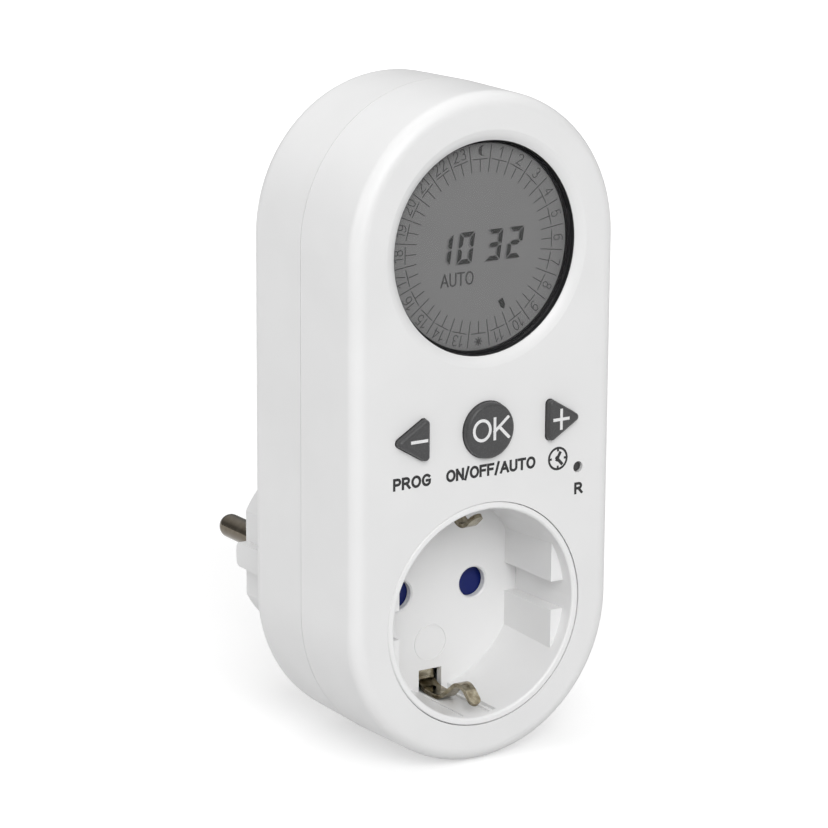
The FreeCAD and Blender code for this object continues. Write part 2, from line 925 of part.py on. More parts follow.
def stop_slot():
    """An arc slot that lets the shutter turn between its stops."""
    start = 90.0
    end = start + shutter_turn
    width = stop_radius + running_gap
    inner = stop_reach - width
    outer = stop_reach + width
    middle = (start + end) / 2
    steps = [
        on_shutter(inner, start),
        (*on_shutter(inner, middle), *on_shutter(inner, end)),
        on_shutter(outer, end),
        (*on_shutter(outer, middle), *on_shutter(outer, start)),
    ]
    near = shutter_front - 1
    band = face_of(steps, lambda x, z: at(x, near, z)).extrude(V(0, shutter_thickness + 2, 0))
    ends = []
    for angle in (start, end):
        x, z = on_shutter(stop_reach, angle)
        ends.append(rod(x, z, width, near, shutter_back + 1))
    return band.fuse(ends)


def shutter_retainer():
    """The cup behind the shutter, with its pivot, stop and spring peg."""
    inner = retainer_radius - retainer_rim
    ear_root = retainer_radius - retainer_rim / 2
    cup = rod(0, 0, retainer_radius, floor_back, retainer_back)
    cup = cup.cut(rod(0, 0, inner, floor_back - 1, retainer_front))
    stop_x, stop_z = on_shutter(stop_reach, 90)
    peg_x, peg_z = on_shutter(spring_peg_reach, -90 - spring_half_opening - spring_peg_angle)
    peg_end = retainer_front + join_overlap
    additions = [
        rod(0, 0, pivot_radius, floor_back + seat_gap, peg_end),
        rod(stop_x, stop_z, stop_radius, shutter_front, peg_end),
        rod(peg_x, peg_z, spring_peg_radius, shutter_back - shutter_recess_depth + spring_peg_gap,
            peg_end),
    ]
    ear_back = floor_back + retainer_ear_thickness
    for x, z in retainer_screw_places():
        side = math.copysign(1, x)
        additions.append(rod(x, z, retainer_ear_radius, floor_back, ear_back))
        span = sorted((side * ear_root, x))
        bridge = block(span, (z - retainer_ear_radius, z + retainer_ear_radius),
                       floor_back, ear_back)
        additions.append(bridge.cut(rod(0, 0, ear_root, floor_back - 1, ear_back + 1)))
    body = cup.fuse(additions)
    cuts = []
    for side in (-1, 1):
        cuts.append(rod(side * pin_x, 0, pin_hole_radius + slide_gap, retainer_front - 1,
                        retainer_back + 1))
    for x, z in retainer_screw_places():
        cuts.append(rod(x, z, board_screw_radius + slide_gap, floor_back - 1, ear_back + 1))
    return body.cut(cuts).removeSplitter()


def shutter_spring():
    """A hairpin wire round the pivot that turns the shutter back over the holes."""
    depth = shutter_back - shutter_recess_depth / 2
    left = -90 - spring_half_opening
    right = -90 + spring_half_opening
    points = []
    for reach, angle in ((spring_leg_reach, left), (spring_coil_radius, left),
                         (spring_coil_radius, 90.0), (spring_coil_radius, right),
                         (spring_hook_reach, right)):
        x, z = on_shutter(reach, angle)
        points.append(at(x, depth, z))
    leg_a = Part.LineSegment(points[0], points[1]).toShape()
    coil = Part.Arc(points[1], points[2], points[3]).toShape()
    leg_b = Part.LineSegment(points[3], points[4]).toShape()
    solids = []
    for path in (leg_a, coil, leg_b):
        start = path.valueAt(path.FirstParameter)
        along = path.tangentAt(path.FirstParameter)
        circle = Part.Wire([Part.makeCircle(spring_wire_radius, start, along)])
        solids.append(Part.Wire([path]).makePipeShell([circle], True, False))
    for corner in (points[1], points[3]):
        solids.append(Part.makeSphere(spring_wire_radius, corner))
    return joined(solids)


def screw(x, z, radius, length, head_radius, head_height, seat, away):
    """A pan-head screw with a cross recess; away is +1 when its head faces the rear."""
    head_end = seat + away * head_height
    near = min(seat, head_end)
    far = max(seat, head_end)
    head = rod(x, z, head_radius, near, far)
    rims = []
    for edge in head.Edges:
        on_end = abs(edge.CenterOfMass.y - (front_y + head_end)) < 1e-6
        if on_end and len(edge.Vertexes) == 1:
            rims.append(edge)
    head = head.makeFillet(head_height * head_round_share, rims)
    tip = seat - away * length
    shank = rod(x, z, radius, min(seat, tip), max(seat, tip))
    depth = head_height * cross_depth_share
    low = min(head_end, head_end - away * depth)
    arm = head_radius * cross_arm_share
    slot = head_radius * cross_slot_share
    cross = centred(arm, slot, low, low + depth, x, z)
    cross = cross.fuse(centred(slot, arm, low, low + depth, x, z))
    return head.fuse(shank).cut(cross)


def case_screws():
    """The four screws that hold the housing's halves together."""
    screws = []
    for x, z in case_screw_places():
        screws.append(screw(x, z, case_screw_radius, case_screw_length, case_head_radius,
                            case_head_height, case_head_seat, 1))
    return Part.Compound(screws)


def board_screws():
    """Small screws of the control board, the power board and the shutter retainer."""
    screws = []
    for x, z in control_post_places():
        screws.append(screw(x, z, board_screw_radius, board_screw_length, board_head_radius,
                            board_head_height, control_board_back, 1))
    for x, z in power_post_places():
        screws.append(screw(x, z, board_screw_radius, power_screw_length, board_head_radius,
                            board_head_height, power_board_depth, -1))
    ear_back = floor_back + retainer_ear_thickness
    for x, z in retainer_screw_places():
        screws.append(screw(x, z, board_screw_radius, board_screw_length, board_head_radius,
                            board_head_height, ear_back, 1))
    return Part.Compound(screws)


def contact_block():
    """The moulded block with a chamber for each spring contact."""
    body = centred(block_half_width, block_half_height, retainer_back, block_back)
    upright = []
    for edge in body.Edges:
        ends = [v.Point for v in edge.Vertexes]
        if abs(ends[0].y - ends[1].y) > 1:
            upright.append(edge)
    body = body.makeFillet(block_corner, upright)
    cuts = []
    chamber_end = block_back - block_rear_wall
    for side in (-1, 1):
        cuts.append(centred(chamber_half_width, chamber_half_height, retainer_back - 1,
                            chamber_end, side * pin_x))
        half = contact_tail_width / 2 + seat_gap
        tail_half = contact_thickness / 2 + seat_gap
        cuts.append(centred(half, tail_half, chamber_end - 1, block_back + 1,
                            side * pin_x, -contact_tail_drop))
    return body.cut(cuts).removeSplitter()


def spring_contact(side):
    """A fork contact: two bowed leaves on a foot, with a tail for its lead."""
    x = side * pin_x
    foot_back = block_back - block_rear_wall - seat_gap
    foot_front = foot_back - contact_thickness
    half = contact_thickness / 2
    mouth_depth = retainer_back + contact_mouth_step
    throat_depth = retainer_back + contact_throat_step
    leaves = []
    for up in (-1, 1):
        points = [
            at(x, mouth_depth, up * (contact_mouth + half)),
            at(x, throat_depth, up * (contact_throat + half)),
            at(x, foot_front + half, up * (contact_foot + half)),
        ]
        leaves.append(strip(points, contact_bend, contact_width, contact_thickness))
    foot_reach = max(contact_foot + contact_thickness + contact_foot_margin,
                     contact_tail_drop + contact_thickness / 2)
    foot = centred(contact_width / 2, foot_reach, foot_front, foot_back, x)
    tail = centred(contact_tail_width / 2, contact_thickness / 2, foot_front,
                   block_back + contact_tail_length, x, -contact_tail_drop)
    return joined(leaves + [foot, tail])


def clip_outline():
    """The earth strip's width along its depth: full at the root, narrower towards the tongue."""
    wide = earth_width / 2
    narrow = clip_end_width / 2
    end = block_back + 2 * earth_thickness
    face = face_of([
        (-wide, clip_taper_start),
        (-narrow, clip_taper_end),
        (-narrow, 0),
        (narrow, 0),
        (narrow, clip_taper_end),
        (wide, clip_taper_start),
        (wide, end),
        (-wide, end),
    ], lambda x, depth: at(x, depth, -1))
    return face.extrude(V(0, 0, channel_floor + 2))


def earth_bracket():
    """One bent strip that carries both earth clips and crosses behind the contact block."""
    root_depth = floor_back + earth_gap + earth_thickness / 2
    outer_reach = retainer_radius + earth_gap + earth_thickness / 2
    bar_depth = block_back + earth_thickness / 2
    shift_start = floor_back + arm_shift_start
    points = [
        at(0, clip_end_depth, clip_end_reach),
        at(0, clip_hump_depth, clip_hump_reach),
        at(0, clip_low_depth, clip_low_reach),
        at(0, clip_heel_depth, clip_heel_reach),
        at(0, root_depth, clip_root_reach),
        at(0, root_depth, outer_reach),
        at(0, shift_start, outer_reach),
        at(0, shift_start + arm_shift_length, arm_reach),
        at(0, bar_depth, arm_reach),
        at(0, bar_depth, 0),
    ]
    bends = [clip_bend] * 3 + [earth_bend] * 5
    arm = strip(points, bends, earth_width, earth_thickness)
    arm = arm.common(clip_outline())
    along = (points[0] - points[1]).normalize()
    normal = along.cross(V(1, 0, 0)).normalize()
    tip = Part.makeCylinder(clip_end_width / 2, earth_thickness,
                            points[0] - normal * (earth_thickness / 2), normal)
    upper = arm.fuse(tip)
    return joined([upper, mirrored_z(upper)])


def plug_earth_strips():
    """The two strips in the plug's side channels, hooked through slots into its hollow."""
    start = block_back + 1.5 * earth_thickness
    points = [
        at(0, start, strip_lap_reach),
        at(0, start, strip_reach),
        at(0, plug_end_depth - strip_end_margin, strip_reach),
    ]
    bend = earth_thickness
    upper = strip(points, bend, strip_width, earth_thickness)
    return Part.Compound([upper, mirrored_z(upper)])


def plug_pin(side):
    """A turned pin with a round tip, a shank in the end wall, a collar and a solder tail."""
    inner_face = plug_end_depth - plug_end_wall
    collar_front = inner_face - pin_collar_length
    tip = plug_end_depth + pin_length
    tip_centre = (0, tip - pin_radius)
    return turned([
        (0, collar_front - pin_tail_length),
        (pin_tail_radius, collar_front - pin_tail_length),
        (pin_tail_radius, collar_front),
        (pin_collar_radius, collar_front),
        (pin_collar_radius, inner_face),
        (pin_shank_radius, inner_face),
        (pin_shank_radius, plug_end_depth),
        (pin_radius, plug_end_depth),
        (pin_radius, tip_centre[1]),
        quarter(tip_centre, pin_radius, 0, 90),
    ], side * pin_x, 0)


def display_bezel():
    """The dark frame that holds the window and the display behind the opening."""
    body = rod(0, display_height, bezel_outer_radius, bezel_seat, control_board_depth)
    collar = rod(0, display_height, bezel_collar_radius, display_lip_back + collar_gap,
                 bezel_seat + join_overlap)
    opening = rod(0, display_height, window_radius + seat_gap, 0, window_back)
    aperture = rod(0, display_height, window_aperture_radius, 0, control_board_depth)
    pocket = octagon(lcd_half_flat + seat_gap, ledge_back, control_board_depth + 1,
                     0, display_height)
    return body.fuse(collar).cut([opening, aperture, pocket]).removeSplitter()


def display_window():
    """The clear sheet in front of the display."""
    return rod(0, display_height, window_radius, window_front, window_back)


def without_ledge(shape):
    """Cut the display's lower edge back, which leaves the front glass's contact ledge."""
    low = display_height - lcd_half_flat - 1
    high = display_height - lcd_half_flat + lcd_ledge
    span = (-lcd_half_flat - 1, lcd_half_flat + 1)
    return shape.cut(block(span, (low, high), 0, control_board_depth + 1))


def lcd_layer(near, far):
    """One eight-sided layer of the display."""
    return octagon(lcd_half_flat, near, far, 0, display_height)


def zebra_strip():
    """The rubber connector between the display's ledge and the control board."""
    low = display_height - lcd_half_flat + zebra_edge
    return block((-zebra_half_length, zebra_half_length), (low, low + zebra_thickness),
                 glass_middle, control_board_depth)


def lcd_cushion():
    """The foam frame that presses the display forward."""
    outer = without_ledge(lcd_layer(reflector_back, control_board_depth))
    inner = rod(0, display_height, lcd_half_flat - cushion_rim, reflector_back - 1,
                control_board_depth + 1)
    return outer.cut(inner)


def key_cap(outline, stem_x):
    """A key: rounded cap, body through the cover, flange behind it and a stem."""
    cap = outline(0.0, -key_proud, key_flange_front)
    front_edges = []
    for edge in cap.Edges:
        if all(abs(v.Point.y - (front_y - key_proud)) < 1e-6 for v in edge.Vertexes):
            front_edges.append(edge)
    cap = cap.makeFillet(key_edge_round, front_edges)
    flange = outline(key_flange, key_flange_front, key_stem_front)
    stem = rod(stem_x, key_height, key_stem_radius, key_stem_front, key_back)
    return joined([cap, flange, stem])


def ok_key():
    """The round middle key."""
    return key_cap(lambda grow, near, far: rod(0, key_height, ok_key_radius + grow, near, far), 0)


def arrow_key(side):
    """A three-sided key that points away from the middle."""
    return key_cap(lambda grow, near, far: arrow_prism(side, grow, near, far),
                   side * arrow_stem_x)


def dome(x):
    """One rubber dome of the mat and the hollow under it."""
    top_radius = key_stem_radius + seat_gap
    outer = cone(x, key_height, top_radius, dome_base_radius, key_back, mat_front)
    inner_front = key_back + dome_skin
    inner = cone(x, key_height, top_radius - dome_skin, dome_base_radius - dome_base_skin,
                 inner_front, control_board_depth)
    foot_end = control_board_depth - key_travel - dome_foot_margin
    foot = rod(x, key_height, dome_foot_radius, inner_front - dome_skin / 2, foot_end)
    return outer, inner, foot


def keypad_mat():
    """The rubber mat whose domes return the three keys."""
    reach_x = mat_half_length - mat_corner
    reach_z = mat_half_height - mat_corner
    centres = [(-reach_x, key_height - reach_z), (reach_x, key_height - reach_z),
               (reach_x, key_height + reach_z), (-reach_x, key_height + reach_z)]
    sheet = hull(centres, mat_corner, mat_front, control_board_depth)
    domes = [dome(x) for x in (-arrow_stem_x, 0, arrow_stem_x)]
    body = sheet.fuse([outer for outer, inner, foot in domes])
    body = body.cut([inner for outer, inner, foot in domes])
    return body.fuse([foot for outer, inner, foot in domes]).removeSplitter()


def reset_switch():
    """The small switch on the control board under the reset hole."""
    half_x = reset_switch_width / 2
    half_z = reset_switch_height / 2
    case = centred(half_x, half_z, reset_switch_front, control_board_depth, reset_x, reset_z)
    well = rod(reset_x, reset_z, reset_collar_radius + slide_gap, reset_switch_front - 1,
               reset_switch_front + reset_travel + reset_well_margin)
    return case.cut(well)


def reset_plunger():
    """The recessed button behind the reset hole."""
    head = rod(reset_x, reset_z, reset_plunger_radius, reset_recess, reset_switch_front)
    foot = rod(reset_x, reset_z, reset_collar_radius, reset_switch_front - reset_collar_thickness,
               reset_switch_front + reset_collar_entry)
    return joined([head, foot])


def board(depth, radius):
    """A board with a round top, notched for the housing's screw bosses."""
    plate = rod(0, display_height, radius, depth, depth + board_thickness)
    lower = block((-radius, radius), (board_bottom, display_height), depth,
                  depth + board_thickness)
    plate = plate.fuse(lower)
    notches = []
    for x, z in case_screw_places():
        notches.append(rod(x, z, case_tube_radius + case_board_notch, depth - 1,
                           depth + board_thickness + 1))
    return plate.cut(notches)


def control_board():
    """The board behind the display and keys."""
    plate = board(control_board_depth, control_board_radius)
    holes = []
    for x, z in control_post_places():
        holes.append(rod(x, z, board_screw_radius + slide_gap, control_board_depth - 1,
                         control_board_back + 1))
    for x in link_places():
        holes.append(rod(x, link_height, link_pin_radius + lead_hole_gap,
                         control_board_depth - 1, control_board_back + 1))
    return plate.cut(holes).removeSplitter()


def power_board():
    """The board that carries the relay and the mains parts."""
    plate = board(power_board_depth, power_board_radius)
    far = power_board_depth + board_thickness + 1
    holes = []
    for x, z in power_post_places():
        holes.append(rod(x, z, board_screw_radius + slide_gap, power_board_depth - 1, far))
    for x, z in leg_places():
        holes.append(rod(x, z, lead_radius + lead_hole_gap, power_board_depth - 1, far))
    for x in link_places():
        holes.append(rod(x, link_height, link_pin_radius + lead_hole_gap,
                         power_board_depth - 1, far))
    return plate.cut(holes).removeSplitter()


def link_places():
    """Where the pins between the two boards stand, along X."""
    start = -link_pitch * (link_count - 1) / 2
    return [start + i * link_pitch for i in range(link_count)]


def board_link():
    """The row of pins that joins the two boards, and its spacer at each board."""
    pins = []
    for x in link_places():
        pins.append(rod(x, link_height, link_pin_radius, control_board_depth,
                        power_board_depth + board_thickness))
    half = link_pitch * link_count / 2
    spacers = [
        centred(half, link_spacer_half_height, control_board_back,
                control_board_back + link_spacer_thickness, 0, link_height),
        centred(half, link_spacer_half_height, power_board_depth - link_spacer_thickness,
                power_board_depth, 0, link_height),
    ]
    return joined(spacers + pins)


def relay_legs():
    """Places of the relay's four pins."""
    x, z = relay_place
    return [(x - relay_leg_x, z - relay_leg_z), (x + relay_leg_x, z - relay_leg_z),
            (x, z + relay_middle_leg_z), (x, z + relay_leg_z)]


def film_capacitor_legs():
    """Places of the film capacitor's two pins."""
    x, z = film_capacitor_place
    return [(x, z - film_capacitor_leg_z), (x, z + film_capacitor_leg_z)]


def cans():
    """Place, radius and height of each electrolytic capacitor."""
    return [large_can_place + large_can_size, small_can_place + small_can_size]


def electrolytic_legs(x, z):
    """Places of an electrolytic capacitor's two pins."""
    return [(x - can_leg_x, z), (x + can_leg_x, z)]


def varistor_legs():
    """Places of the varistor's two pins."""
    x, z = varistor_place
    return [(x - varistor_leg_x, z - varistor_leg_z), (x + varistor_leg_x, z + varistor_leg_z)]


def diode_heights():
    """Heights of the diodes in their row."""
    first = power_post_z - diode_drop
    return [first + i * diode_pitch for i in range(diode_count)]


def diode_legs(z):
    """Places of one diode's two pins."""
    reach = diode_length / 2 + diode_lead_run
    return [(diode_x - reach, z), (diode_x + reach, z)]


def resistor_legs():
    """Places of the power resistor's two pins."""
    x, z = resistor_place
    reach = resistor_length / 2 + resistor_lead_run
    return [(x, z - reach), (x, z + reach)]


def transistor_legs():
    """Places of the transistor's three pins."""
    x, z = transistor_place
    return [(x - transistor_leg_x, z), (x, z), (x + transistor_leg_x, z)]


def leg_places():
    """Every pin hole in the power board."""
    places = relay_legs() + film_capacitor_legs() + varistor_legs() + resistor_legs()
    places = places + transistor_legs()
    for x, z, radius, height in cans():
        places = places + electrolytic_legs(x, z)
    for z in diode_heights():
        places = places + diode_legs(z)
    return places


def legs(places, near):
    """Pins from a part down through the power board."""
    far = power_board_depth + board_thickness + lead_overhang
    return [rod(x, z, lead_radius, near, far) for x, z in places]


def rounded_box(place, size, near, far, radius):
    """An upright case with rounded edges on every side but its foot."""
    case = centred(size[0] / 2, size[1] / 2, near, far, place[0], place[1])
    edges = []
    for edge in case.Edges:
        if any(abs(v.Point.y - (front_y + far)) > 1e-6 for v in edge.Vertexes):
            edges.append(edge)
    return case.makeFillet(radius, edges)


def relay():
    """The switching relay."""
    case = rounded_box(relay_place, relay_size, power_board_depth - relay_size[2],
                       power_board_depth, relay_round)
    return joined([case] + legs(relay_legs(), power_board_depth - join_overlap))


def film_capacitor():
    """The mains dropper capacitor."""
    case = rounded_box(film_capacitor_place, film_capacitor_size,
                       power_board_depth - film_capacitor_size[2], power_board_depth,
                       film_capacitor_round)
    return joined([case] + legs(film_capacitor_legs(), power_board_depth - join_overlap))


def electrolytic_capacitors():
    """Two upright cans with a crimp groove near the foot."""
    solids = []
    for x, z, radius, height in cans():
        can = rod(x, z, radius, power_board_depth - height, power_board_depth)
        groove = Part.makeTorus(radius + crimp_offset, crimp_radius,
                                at(x, power_board_depth - crimp_rise, z), V(0, 1, 0))
        can = can.cut(groove)
        solids.append(joined([can] + legs(electrolytic_legs(x, z), power_board_depth - join_overlap)))
    return Part.Compound(solids)


def varistor():
    """The surge absorber: a coated disc on two pins."""
    x, z = varistor_place
    middle = power_board_depth - varistor_stand - varistor_radius
    disc = Part.makeCylinder(varistor_radius, varistor_thickness,
                             at(x - varistor_thickness / 2, middle, z), V(1, 0, 0))
    disc = disc.makeFillet(varistor_round, [e for e in disc.Edges if len(e.Vertexes) == 1])
    near = power_board_depth - varistor_stand - varistor_radius / 2
    return joined([disc] + legs(varistor_legs(), near))


def bridge_diodes():
    """Four diodes that lie on the power board."""
    diodes = []
    middle = power_board_depth - diode_radius - part_stand
    for z in diode_heights():
        body = Part.makeCylinder(diode_radius, diode_length,
                                 at(diode_x - diode_length / 2, middle, z), V(1, 0, 0))
        ends = diode_legs(z)
        wire = Part.makeCylinder(lead_radius, ends[1][0] - ends[0][0],
                                 at(ends[0][0], middle, z), V(1, 0, 0))
        diodes.append(joined([body, wire] + legs(ends, middle)))
    return Part.Compound(diodes)


def power_resistor():
    """The power resistor: a waisted body lying on the power board."""
    x, z = resistor_place
    middle = power_board_depth - resistor_radius - part_stand
    half = resistor_length / 2
    low = at(x, middle, z - half)
    body = Part.makeCylinder(resistor_waist_radius, resistor_length, low, V(0, 0, 1))
    high = at(x, middle, z + half - resistor_cap)
    caps = [Part.makeCylinder(resistor_radius, resistor_cap, place, V(0, 0, 1))
            for place in (low, high)]
    ends = resistor_legs()
    wire = Part.makeCylinder(lead_radius, ends[1][1] - ends[0][1],
                             at(x, middle, ends[0][1]), V(0, 0, 1))
    return joined([body, wire] + caps + legs(ends, middle))


def transistor():
    """The relay driver: a flat-sided three-pin case."""
    x, z = transistor_place
    near = power_board_depth - transistor_height - transistor_stand
    case = rod(x, z, transistor_radius, near, near + transistor_height)
    flat = block((x - transistor_radius - 1, x + transistor_radius + 1),
                 (z - transistor_radius - 1, z - transistor_flat),
                 near - 1, near + transistor_height + 1)
    return joined([case.cut(flat)] + legs(transistor_legs(), near + transistor_height - join_overlap))


def backup_battery():
    """The rechargeable button cell that keeps the time."""
    x, z = battery_place
    near = control_board_back + battery_tab_thickness
    cell = rod(x, z, battery_radius, near, near + battery_height)
    return cell.makeFillet(battery_round, [e for e in cell.Edges if len(e.Vertexes) == 1])


def battery_tabs():
    """The two welded tabs that carry the button cell on the control board."""
    x, z = battery_place
    half = battery_tab_width / 2
    far_face = control_board_back + battery_tab_thickness + battery_height
    reach = battery_radius + battery_tab_reach
    under = block((x - reach, x + battery_tab_inner), (z - half, z + half), control_board_back,
                  control_board_back + battery_tab_thickness)
    over = block((x - battery_tab_inner, x + reach), (z - half, z + half), far_face,
                 far_face + battery_tab_thickness)
    drop = block((x + reach - battery_tab_thickness, x + reach), (z - half, z + half),
                 control_board_back, far_face + battery_tab_thickness)
    return Part.Compound([under, joined([over, drop])])


def crystal():
    """The clock crystal's can, lying on the control board, and its two wires."""
    x, z = crystal_place
    depth = control_board_back + crystal_radius
    can = Part.makeCylinder(crystal_radius, crystal_length, at(x, depth, z), V(0, 0, 1))
    wires = []
    for side in (-1, 1):
        wire_x = x + side * crystal_wire_x
        end_z = z - crystal_wire_run
        wires.append(Part.makeCylinder(crystal_wire_radius, crystal_wire_run + seat_gap,
                                       at(wire_x, depth, end_z), V(0, 0, 1)))
        wires.append(rod(wire_x, end_z + crystal_wire_radius, crystal_wire_radius,
                         control_board_back, depth + crystal_wire_radius))
    return joined([can] + wires)


def processor_blob():
    """The resin dome over the clock chip."""
    x, z = blob_place
    sphere_radius = (blob_radius ** 2 + blob_height ** 2) / (2 * blob_height)
    centre = at(x, control_board_back + blob_height - sphere_radius, z)
    sphere = Part.makeSphere(sphere_radius, centre)
    return sphere.common(rod(x, z, blob_radius, control_board_back,
                             control_board_back + blob_height + 1))


def supply_lead(side):
    """An insulated lead from a plug pin's tail up to the power board."""
    x = side * pin_x
    tail = plug_end_depth - plug_end_wall - pin_collar_length - pin_tail_length
    points = [
        at(x, tail, 0),
        at(x, tail - lead_tail_run, 0),
        at(x, tail - lead_tail_run, lead_rise),
        at(x, lead_run_depth, lead_rise),
        at(x, lead_run_depth, supply_lead_height),
        at(x, power_board_depth, supply_lead_height),
    ]
    return wire_lead(points, lead_wire_radius, lead_bend)


def return_lead(side):
    """An insulated lead from a socket contact's tail up to the power board."""
    contact_x = side * pin_x
    x = side * return_lead_x
    tail = block_back + contact_tail_length
    turn = tail + return_lead_run
    points = [
        at(contact_x, tail, -contact_tail_drop),
        at(contact_x, turn, -contact_tail_drop),
        at(x, turn, -contact_tail_drop),
        at(x, turn, lead_rise),
        at(x, lead_run_depth, lead_rise),
        at(x, lead_run_depth, return_lead_height),
        at(x, power_board_depth, return_lead_height),
    ]
    return wire_lead(points, lead_wire_radius, return_lead_bend)


def build():
    """Write every node."""
    os.makedirs("parts", exist_ok=True)
    save("front_cover", front_cover())
    save("rear_cover", rear_cover())
    save("socket_insert", socket_insert())
    save("shutter", shutter())
    save("shutter_spring", shutter_spring())
    save("shutter_retainer", shutter_retainer())
    save("contact_block", contact_block())
    save("live_contact", spring_contact(1))
    save("neutral_contact", spring_contact(-1))
    save("earth_bracket", earth_bracket())
    save("plug_earth_strips", plug_earth_strips())
    save("live_pin", plug_pin(1))
    save("neutral_pin", plug_pin(-1))
    save("display_bezel", display_bezel())
    save("display_window", display_window())
    save("lcd_polarizer", lcd_layer(polarizer_front, glass_front))
    save("lcd_front_glass", lcd_layer(glass_front, glass_middle))
    save("lcd_rear_glass", without_ledge(lcd_layer(glass_middle, glass_back)))
    save("lcd_reflector", without_ledge(lcd_layer(glass_back, reflector_back)))
    save("lcd_cushion", lcd_cushion())
    save("zebra_strip", zebra_strip())
    save("minus_key", arrow_key(-1))
    save("ok_key", ok_key())
    save("plus_key", arrow_key(1))
    save("keypad_mat", keypad_mat())
    save("reset_switch", reset_switch())
    save("reset_plunger", reset_plunger())
    save("control_board", control_board())
    save("processor_blob", processor_blob())
    save("crystal", crystal())
    save("backup_battery", backup_battery())
    save("battery_tabs", battery_tabs())
    save("board_link", board_link())
    save("power_board", power_board())
    save("relay", relay())
    save("film_capacitor", film_capacitor())
    save("electrolytic_capacitors", electrolytic_capacitors())
    save("varistor", varistor())
    save("bridge_diodes", bridge_diodes())
    save("power_resistor", power_resistor())
    save("transistor", transistor())
    save("live_lead", supply_lead(1))
    save("neutral_lead", supply_lead(-1))
    save("switched_live_lead", return_lead(1))
    save("neutral_return_lead", return_lead(-1))
    save("case_screws", case_screws())
    save("board_screws", board_screws())


build()
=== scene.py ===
import json
import math

import bmesh
import bpy
from mathutils import Matrix, Vector
from mathutils.geometry import delaunay_2d_cdt


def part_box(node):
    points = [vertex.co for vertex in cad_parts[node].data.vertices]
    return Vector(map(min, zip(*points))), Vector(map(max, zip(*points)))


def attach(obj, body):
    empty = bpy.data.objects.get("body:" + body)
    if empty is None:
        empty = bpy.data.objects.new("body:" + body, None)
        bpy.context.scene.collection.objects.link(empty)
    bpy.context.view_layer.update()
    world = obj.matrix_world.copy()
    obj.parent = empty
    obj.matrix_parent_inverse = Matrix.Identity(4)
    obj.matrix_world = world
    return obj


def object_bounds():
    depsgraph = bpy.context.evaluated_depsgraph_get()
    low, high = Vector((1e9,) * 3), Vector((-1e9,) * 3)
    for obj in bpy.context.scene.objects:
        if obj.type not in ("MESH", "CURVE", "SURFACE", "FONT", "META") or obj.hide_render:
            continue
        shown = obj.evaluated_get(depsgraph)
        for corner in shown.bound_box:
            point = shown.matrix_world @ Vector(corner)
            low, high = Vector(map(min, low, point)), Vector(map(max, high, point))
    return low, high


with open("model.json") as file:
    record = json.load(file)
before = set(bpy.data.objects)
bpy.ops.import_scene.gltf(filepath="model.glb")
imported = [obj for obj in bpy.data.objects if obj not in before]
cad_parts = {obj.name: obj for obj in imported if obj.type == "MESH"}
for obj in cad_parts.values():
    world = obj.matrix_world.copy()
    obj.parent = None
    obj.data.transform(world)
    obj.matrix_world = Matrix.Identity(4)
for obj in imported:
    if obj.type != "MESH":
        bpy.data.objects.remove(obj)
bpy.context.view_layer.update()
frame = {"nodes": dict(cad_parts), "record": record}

MM = 0.001


def front_of(node):
    """Where a node's front lies, in millimetres."""
    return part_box(node)[0].y / MM


def height_of(node):
    """How high a node's middle lies, in millimetres."""
    low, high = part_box(node)
    return (low.z + high.z) / 2 / MM


# Places and sizes on the object, in millimetres and degrees, with depths from the front face
FRONT = front_of("front_cover")
FILM_DEPTH = front_of("lcd_polarizer") - FRONT
KEY_PROUD = FRONT - front_of("ok_key")
DIAL_RISE = 0.03
DISPLAY_Z = height_of("lcd_polarizer") + DIAL_RISE
SIGN_RISE = 0.13
KEY_Z = height_of("ok_key") + SIGN_RISE

# Dial ring on the display
HOURS = 24
MARK_THICKNESS = 0.03
TICK_INNER = 13.5
TICK_OUTER = 18.4
TICK_WIDTH = 0.17
BAR_RADIUS = 15.8
BAR_LENGTH = 3.1
NUMERAL_RADIUS = 17.3
NUMERAL_HEIGHT = 2.1
NUMERAL_GAP = 0.2
MOON_RADIUS = 0.95
MOON_BITE = 0.8
MOON_BITE_UP = 0.55
MOON_START = 55
MOON_SWEEP = 250
MOON_STEPS = 16
MOON_SHIFT = 0.5
SUN_RADIUS = 0.42
SUN_SWEEP = 345
SUN_RAYS = 8
RAY_INNER = 0.4
RAY_OUTER = 0.85
RAY_WIDTH = 0.2

# Pointer: a small five-sided mark that shows the hour
POINTER_ANGLE = 155
POINTER_RADIUS = 12.1
POINTER_HALF = 0.55
POINTER_TOP = 1.0
POINTER_SHOULDER = -0.35
POINTER_TIP = -1.05

# Seven-segment digits and the word below them
DIGIT_FOOT = 64.95
DIGIT_HEIGHT = 5.7
DIGIT_WIDTH = 3.2
DIGIT_SLANT = 0.14
SEGMENT_WIDTH = 0.84
SEGMENT_GAP = 0.16
DIGIT_RIGHTS = {"1": -5.52, "0": -0.88, "3": 5.21, "2": 9.77}
SEGMENTS = {"0": "abcdef", "1": "bc", "2": "abged", "3": "abgcd"}
# Painted shadow of the lit digits: a grown copy, shifted left and down, laid just behind them
SHADOW_GROW = 0.12
SHADOW_SHIFT = (-0.3, -0.12)
SHADOW_DEPTH = 0.015
SHADOW_THICKNESS = 0.012
WORD_PLACE = (-8.31, 61.05)
WORD_HEIGHT = 2.5
WORD_WIDTH = 7.14
WORD_STROKE = 0.3

